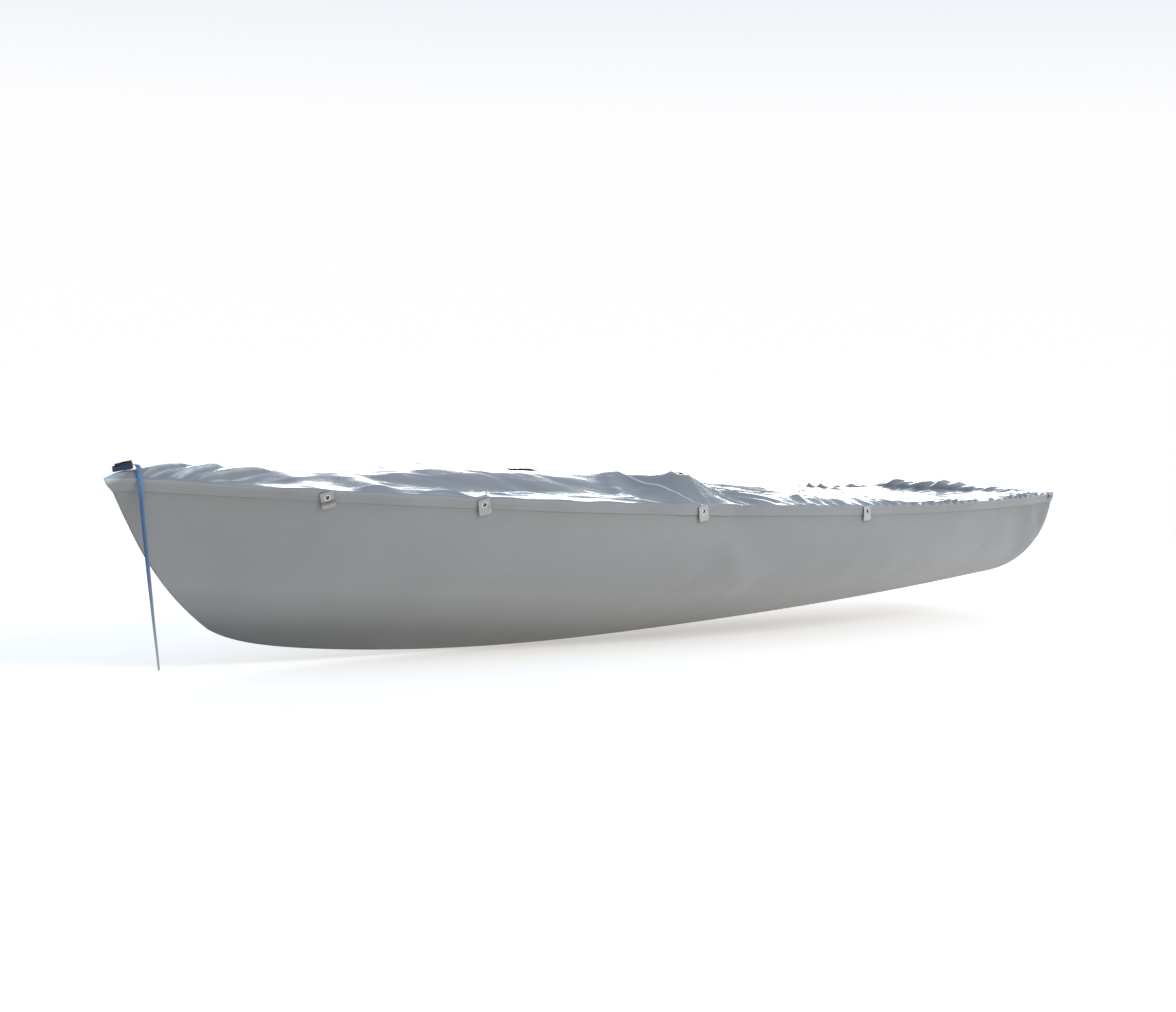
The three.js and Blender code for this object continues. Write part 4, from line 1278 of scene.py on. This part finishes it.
# Deck cloth
def deck_piece(name, points, faces, holes, cloth, hung, cut):
    """A deck panel with its holes; hung is the skirt's share at each point."""
    faces = open_holes(points, faces, holes)
    # The second channel holds the painted highlights along the bow's crease crests.
    wear = joined(hung, bow_crest_highlights_share(points) * (1 - hung))
    piece = mesh_piece(f"deck_{name}_cloth", points, faces, COATED, cloth=cloth, wear=wear)
    rests_on = ["side_port_cloth", "side_starboard_cloth"]
    settle_sheet(piece, "coated_cloth", f"deck_{name}", *cut, "draped", rests_on)


def fore_panel():
    places = np.linspace(0, CROSS_SEAM_X + SEAM_LAP, FORE_RINGS)
    lift = SEAM_RAISE * smooth(CROSS_SEAM_X - SEAM_RISE_FROM, CROSS_SEAM_X - SEAM_RISE_TO, places)
    rings, cloth = deck_rings(places, lift)
    nose = np.repeat(rings[:1], len(NOSE_RINGS), axis=0)
    for ring, share in zip(nose, NOSE_RINGS):
        ring[:, 1] *= math.sqrt(1 - share**2)
        ring[:, 0] -= NOSE_ROUND * share
    rings = np.concatenate((nose, rings))
    cloth = np.concatenate((np.repeat(cloth[:1], len(nose), 0), cloth))
    faces = grid_faces(numbered(*rings.shape[:2]))[:, ::-1]
    hung = skirt_share(len(rings))
    deck_piece("fore", rings.reshape(-1, 3), faces, POST_HOLES, cloth, hung, FORE_CUT)


def aft_panel():
    """The aft panel, whose skirt also hangs over the stern."""
    places = np.linspace(CROSS_SEAM_X + SEAM_GAP, LENGTH + STERN_LAP, AFT_RINGS)
    rings, cloth = deck_rings(places, np.zeros(AFT_RINGS))
    skirt, deck_end = len(FALLS), len(FALLS) + DECK_COLUMNS
    rim, port, starboard = rings[-1, skirt:deck_end], rings[-1, skirt - 1 :: -1], rings[-1, deck_end:]
    falls = FALLS[::-1]
    fallen = falls[:, None] / SKIRT
    share = np.linspace(0, 1, DECK_COLUMNS)
    low = port[:, None] * (1 - share[:, None]) + starboard[:, None] * share[:, None]
    wave = STERN_WAVE * np.sin(math.tau * rim[:, 1] / RIM_PITCH + STERN_WAVE_PHASE)
    hang = joined(
        low[..., 0] + STERN_BELLY * np.sin(math.pi * share) + wave * fallen,
        rim[:, 1],
        rim[:, 2] - (rim[:, 2] - low[-1, :, 2]) * fallen,
    )
    inner = hang[:, 1:-1]
    index = numbered(*rings.shape[:2])
    hanging = numbered(*inner.shape[:2], index.size)
    ends = index[-1]
    table = np.column_stack((ends[skirt - 1 :: -1], hanging, ends[deck_end:]))
    table = np.concatenate((ends[None, skirt:deck_end], table))
    faces = np.concatenate((grid_faces(index), grid_faces(table)))[:, ::-1]
    points = np.concatenate((rings.reshape(-1, 3), inner.reshape(-1, 3)))
    inner_cloth = joined(LENGTH + STERN_LAP + falls[:, None], rim[None, 1:-1, 1])
    cloth = np.concatenate((cloth.reshape(-1, 2), inner_cloth.reshape(-1, 2)))
    hung = np.repeat(smooth(0.0, EDGE_TURN, falls), inner.shape[1])
    hung = np.concatenate((skirt_share(len(rings)), hung))
    deck_piece("aft", points, faces, WIRE_HOLES, cloth, hung, AFT_CUT)


for side_name, side in SIDES.items():
    side_panel(side_name, side)
stern_panel()
fore_panel()
aft_panel()


# Sewing
def stitch_row(line, out):
    """Stitches along a line of points, each a small spindle of thread lifted in the outward direction."""
    lengths = run_along(line)
    starts = np.arange(STITCH_PITCH / 2, lengths[-1] - STITCH_LENGTH, STITCH_PITCH)

    def at(where, values):
        return np.stack([np.interp(where, lengths, column) for column in values.T], 1)

    first, last = at(starts, line), at(starts + STITCH_LENGTH, line)
    lift = unit(at(starts + STITCH_LENGTH / 2, out)) * THREAD
    middle = (first + last) / 2 + STITCH_RISE * lift
    wide = unit(np.cross(last - first, lift)) * THREAD
    return np.stack((first, last, middle + wide, middle + lift, middle - wide, middle - lift), 1)


def hem_stitches():
    rows = []
    x = np.linspace(*HEM_ROW_ENDS, HEM_ROW_STEPS)
    station = x / LENGTH
    for side in SIDES.values():
        for fall in HEM_ROWS:
            out = side_axes(station, fall / depth_at(station), side)[2]
            rows.append(stitch_row(skirt_point(x, np.full(1, fall), side), out))
    points = np.concatenate(rows)
    around = ((2, 3), (3, 4), (4, 5), (5, 2))
    corners = [(0, a, b) for a, b in around] + [(1, b, a) for a, b in around]
    faces = (np.arange(len(points))[:, None, None] * points.shape[1] + np.array(corners)).reshape(-1, 3)
    settle(mesh_piece("hem_stitches", points, faces, SEWING, smooth_shade=False), "coated_cloth")


# Tabs and eyelets
def rounded_reach(angle, size):
    """Distance from the eyelet's centre to the tab's rounded outline, in each direction."""
    half = np.array((size["width"] / 2, size["height"] / 2))
    low, high = np.zeros_like(angle), np.full_like(angle, size["height"])
    for _ in range(OUTLINE_HALVINGS):
        middle = (low + high) / 2
        place = joined(middle * np.cos(angle), size["eyelet_up"] + middle * np.sin(angle))
        place = np.abs(place) - half + size["corner"]
        distance = np.linalg.norm(np.maximum(place, 0), axis=-1) + np.minimum(place.max(-1), 0)
        outside = distance > size["corner"]
        low, high = np.where(outside, low, middle), np.where(outside, middle, high)
    return (low + high) / 2


def tab_piece(name, size, axes, origin, material, seed):
    angle = all_round(TAB_STEPS)
    outer = rounded_reach(angle, size)
    inner = EYELET_BARREL + EYELET_GAP
    reach = inner + (outer - inner) * np.array(TAB_RINGS)[:, None]
    u = reach * np.cos(angle)
    v = size["eyelet_up"] + reach * np.sin(angle)
    from_rim = outer - reach
    low = np.clip((size["height"] * TAB_CURL_FROM - v) / size["height"], 0, 1)
    curl = TAB_CURL * low**2 * (1 + 0.5 * np.sin(u * TAB_CURL_WAVES + seed))
    sunk = hump(from_rim - TAB_STITCH_INSET, TAB_STITCH_WIDTH) + 1 - smooth(0, TAB_RIM_ROUND, from_rim)
    rough = TAB_ROUGH * noise_field(u, v, (TAB_ROUGH_WAVES, TAB_ROUGH_WAVES, seed))
    w = TAB_BACK + TAB_CLOTH + curl - TAB_STITCH_DEPTH * sunk + rough
    aft, up, out = axes
    points = origin + u[..., None] * aft + v[..., None] * up + w[..., None] * out
    cloth = joined(u, size["eyelet_up"] - v)
    piece = mesh_piece(name + "_cloth", points, tube_faces(*u.shape), material, cloth=cloth)
    flat = (size["width"], size["height"])
    area = TAB_CUT_SHARE * flat[0] * flat[1]
    settle_sheet(piece, "tab", name, flat, area, "hung", thickness=TAB_CLOTH)


def eyelet_piece(name, axes, centre, shaded_rows):
    """A pressed ring; these first rows of its face, from the bore outwards, are painted black as the shade
    inside the hole.
    """
    middle = (EYELET_BORE + EYELET_FLANGE) / 2
    half = (EYELET_FLANGE - EYELET_BORE) / 2
    roll = np.linspace(math.pi, 0, EYELET_ROLL_STEPS)
    profile = np.concatenate((
        [(EYELET_BORE, EYELET_GAP)],
        joined(middle + half * np.cos(roll), EYELET_FACE + EYELET_CROWN * np.sin(roll)),
        [(EYELET_FLANGE - EYELET_LIP[0], EYELET_FACE - EYELET_LIP[1])],
        [(EYELET_BARREL, EYELET_FACE), (EYELET_BARREL, EYELET_GAP)],
    ))
    turn = all_round(EYELET_STEPS)
    aft, up, out = axes
    ring = np.cos(turn)[:, None] * aft + np.sin(turn)[:, None] * up
    points = centre + profile[:, None, :1] * ring[None] + profile[:, None, 1:] * out
    faces = tube_faces(*points.shape[:2], closed=True)
    piece = mesh_piece(name + "_ring", points, faces, METAL)
    # The bore and the face's first rows take the painted shade.
    piece.data.materials.append(BORE_SHADE)
    shaded = np.arange(len(faces)) < shaded_rows * EYELET_STEPS
    piece.data.polygons.foreach_set("material_index", shaded.astype(np.int32))
    settle(piece, "eyelet", name)


def add_tab(side, x, size, tab_name, eyelet_name, material, seed):
    station = np.array(x / LENGTH)
    drop = size["drop"] / depth_at(station)
    axes = side_axes(station, drop, side)
    origin = side_point(station, drop, side) + axes[2] * (DECK_OUT + TAB_GAP)
    tab_piece(tab_name, size, axes, origin, material, seed)
    eyelet_piece(eyelet_name, axes, origin + size["eyelet_up"] * axes[1], size["shaded_rows"])


hem_stitches()
for side_name, side in SIDES.items():
    for i, x in enumerate(TAB_X, 1):
        names = (f"tab_{side_name}_{i}", f"eyelet_{side_name}_{i}")
        add_tab(side, x, TAB, *names, TAB_CLOTHS[i - 1], TAB_SEED + TAB_SEED_STEP * i + side)
    names = (f"patch_{side_name}", f"eyelet_{side_name}_stern")
    add_tab(side, PATCH_X, PATCH, *names, TAB_CLOTHS[-1], PATCH_SEED + side)

# Floor and light: a lamp is place, target, size, power and roll. The glare stands higher behind the bow
# than behind the stern.
FLOOR_GAP = 0.004
FLOOR_RADIUS = 12.5
FLOOR_STEPS = 96
DOME = (
    (0.0, WHITE),
    (0.5, WHITE),
    (0.57, (0.99, 0.99, 1.0)),
    (0.66, (0.58, 0.67, 0.78)),
    (1.0, (0.38, 0.49, 0.64)),
)
KEY = ((0.6, -8.0, 3.8), (0.6, -0.5, -0.3), (5.0, 3.0), 330, 0)
GLARE = ((10.5, 9.2, 2.45), (0.0, 0.0, 2.45), (10.0, 6.4), 690, 14)


def make_floor():
    level = CAD_BOX[0][2] - FLOOR_GAP
    turn = all_round(FLOOR_STEPS)
    rim = joined(FLOOR_RADIUS * np.cos(turn), FLOOR_RADIUS * np.sin(turn), level).tolist()
    mesh = bpy.data.meshes.new("floor")
    mesh.from_pydata(rim, [], [tuple(range(FLOOR_STEPS))])
    mesh.materials.append(plain_material("floor", 0.5, FLOOR_TONES, 0.8, FLOOR_GLOW))
    new_object("floor", mesh)


def make_world():
    """A plain soft dome: white at the horizon and blue-grey overhead."""
    world = bpy.data.worlds.new("dome")
    bpy.context.scene.world = world
    world.use_nodes = True
    tree = world.node_tree
    direction = node(tree, "TexCoord", {}).outputs["Generated"]
    height = node(tree, "SeparateXYZ", {"Vector": direction}).outputs["Z"]
    background = tree.nodes["Background"]
    feed(background.inputs["Color"], ramp(tree, spread(tree, height, 0.0, 1.0, -1.0, 1.0), DOME))
    feed(background.inputs["Strength"], 1.0)


def area_light(name, place, target, size, power, roll):
    lamp = bpy.data.lights.new(name, "AREA")
    lamp.shape = "RECTANGLE"
    lamp.size, lamp.size_y = size
    lamp.energy = power
    light = new_object(name, lamp)
    light.location = place
    turn = (Vector(target) - Vector(place)).to_track_quat("-Z", "Y").to_matrix()
    light.rotation_euler = (turn @ Matrix.Rotation(math.radians(roll), 3, "Z")).to_euler()
    light.visible_camera = False
    return light


make_floor()
make_world()
area_light("key", *KEY).visible_glossy = False
area_light("glare", *GLARE)
bpy.context.scene.view_settings.view_transform = "Standard"
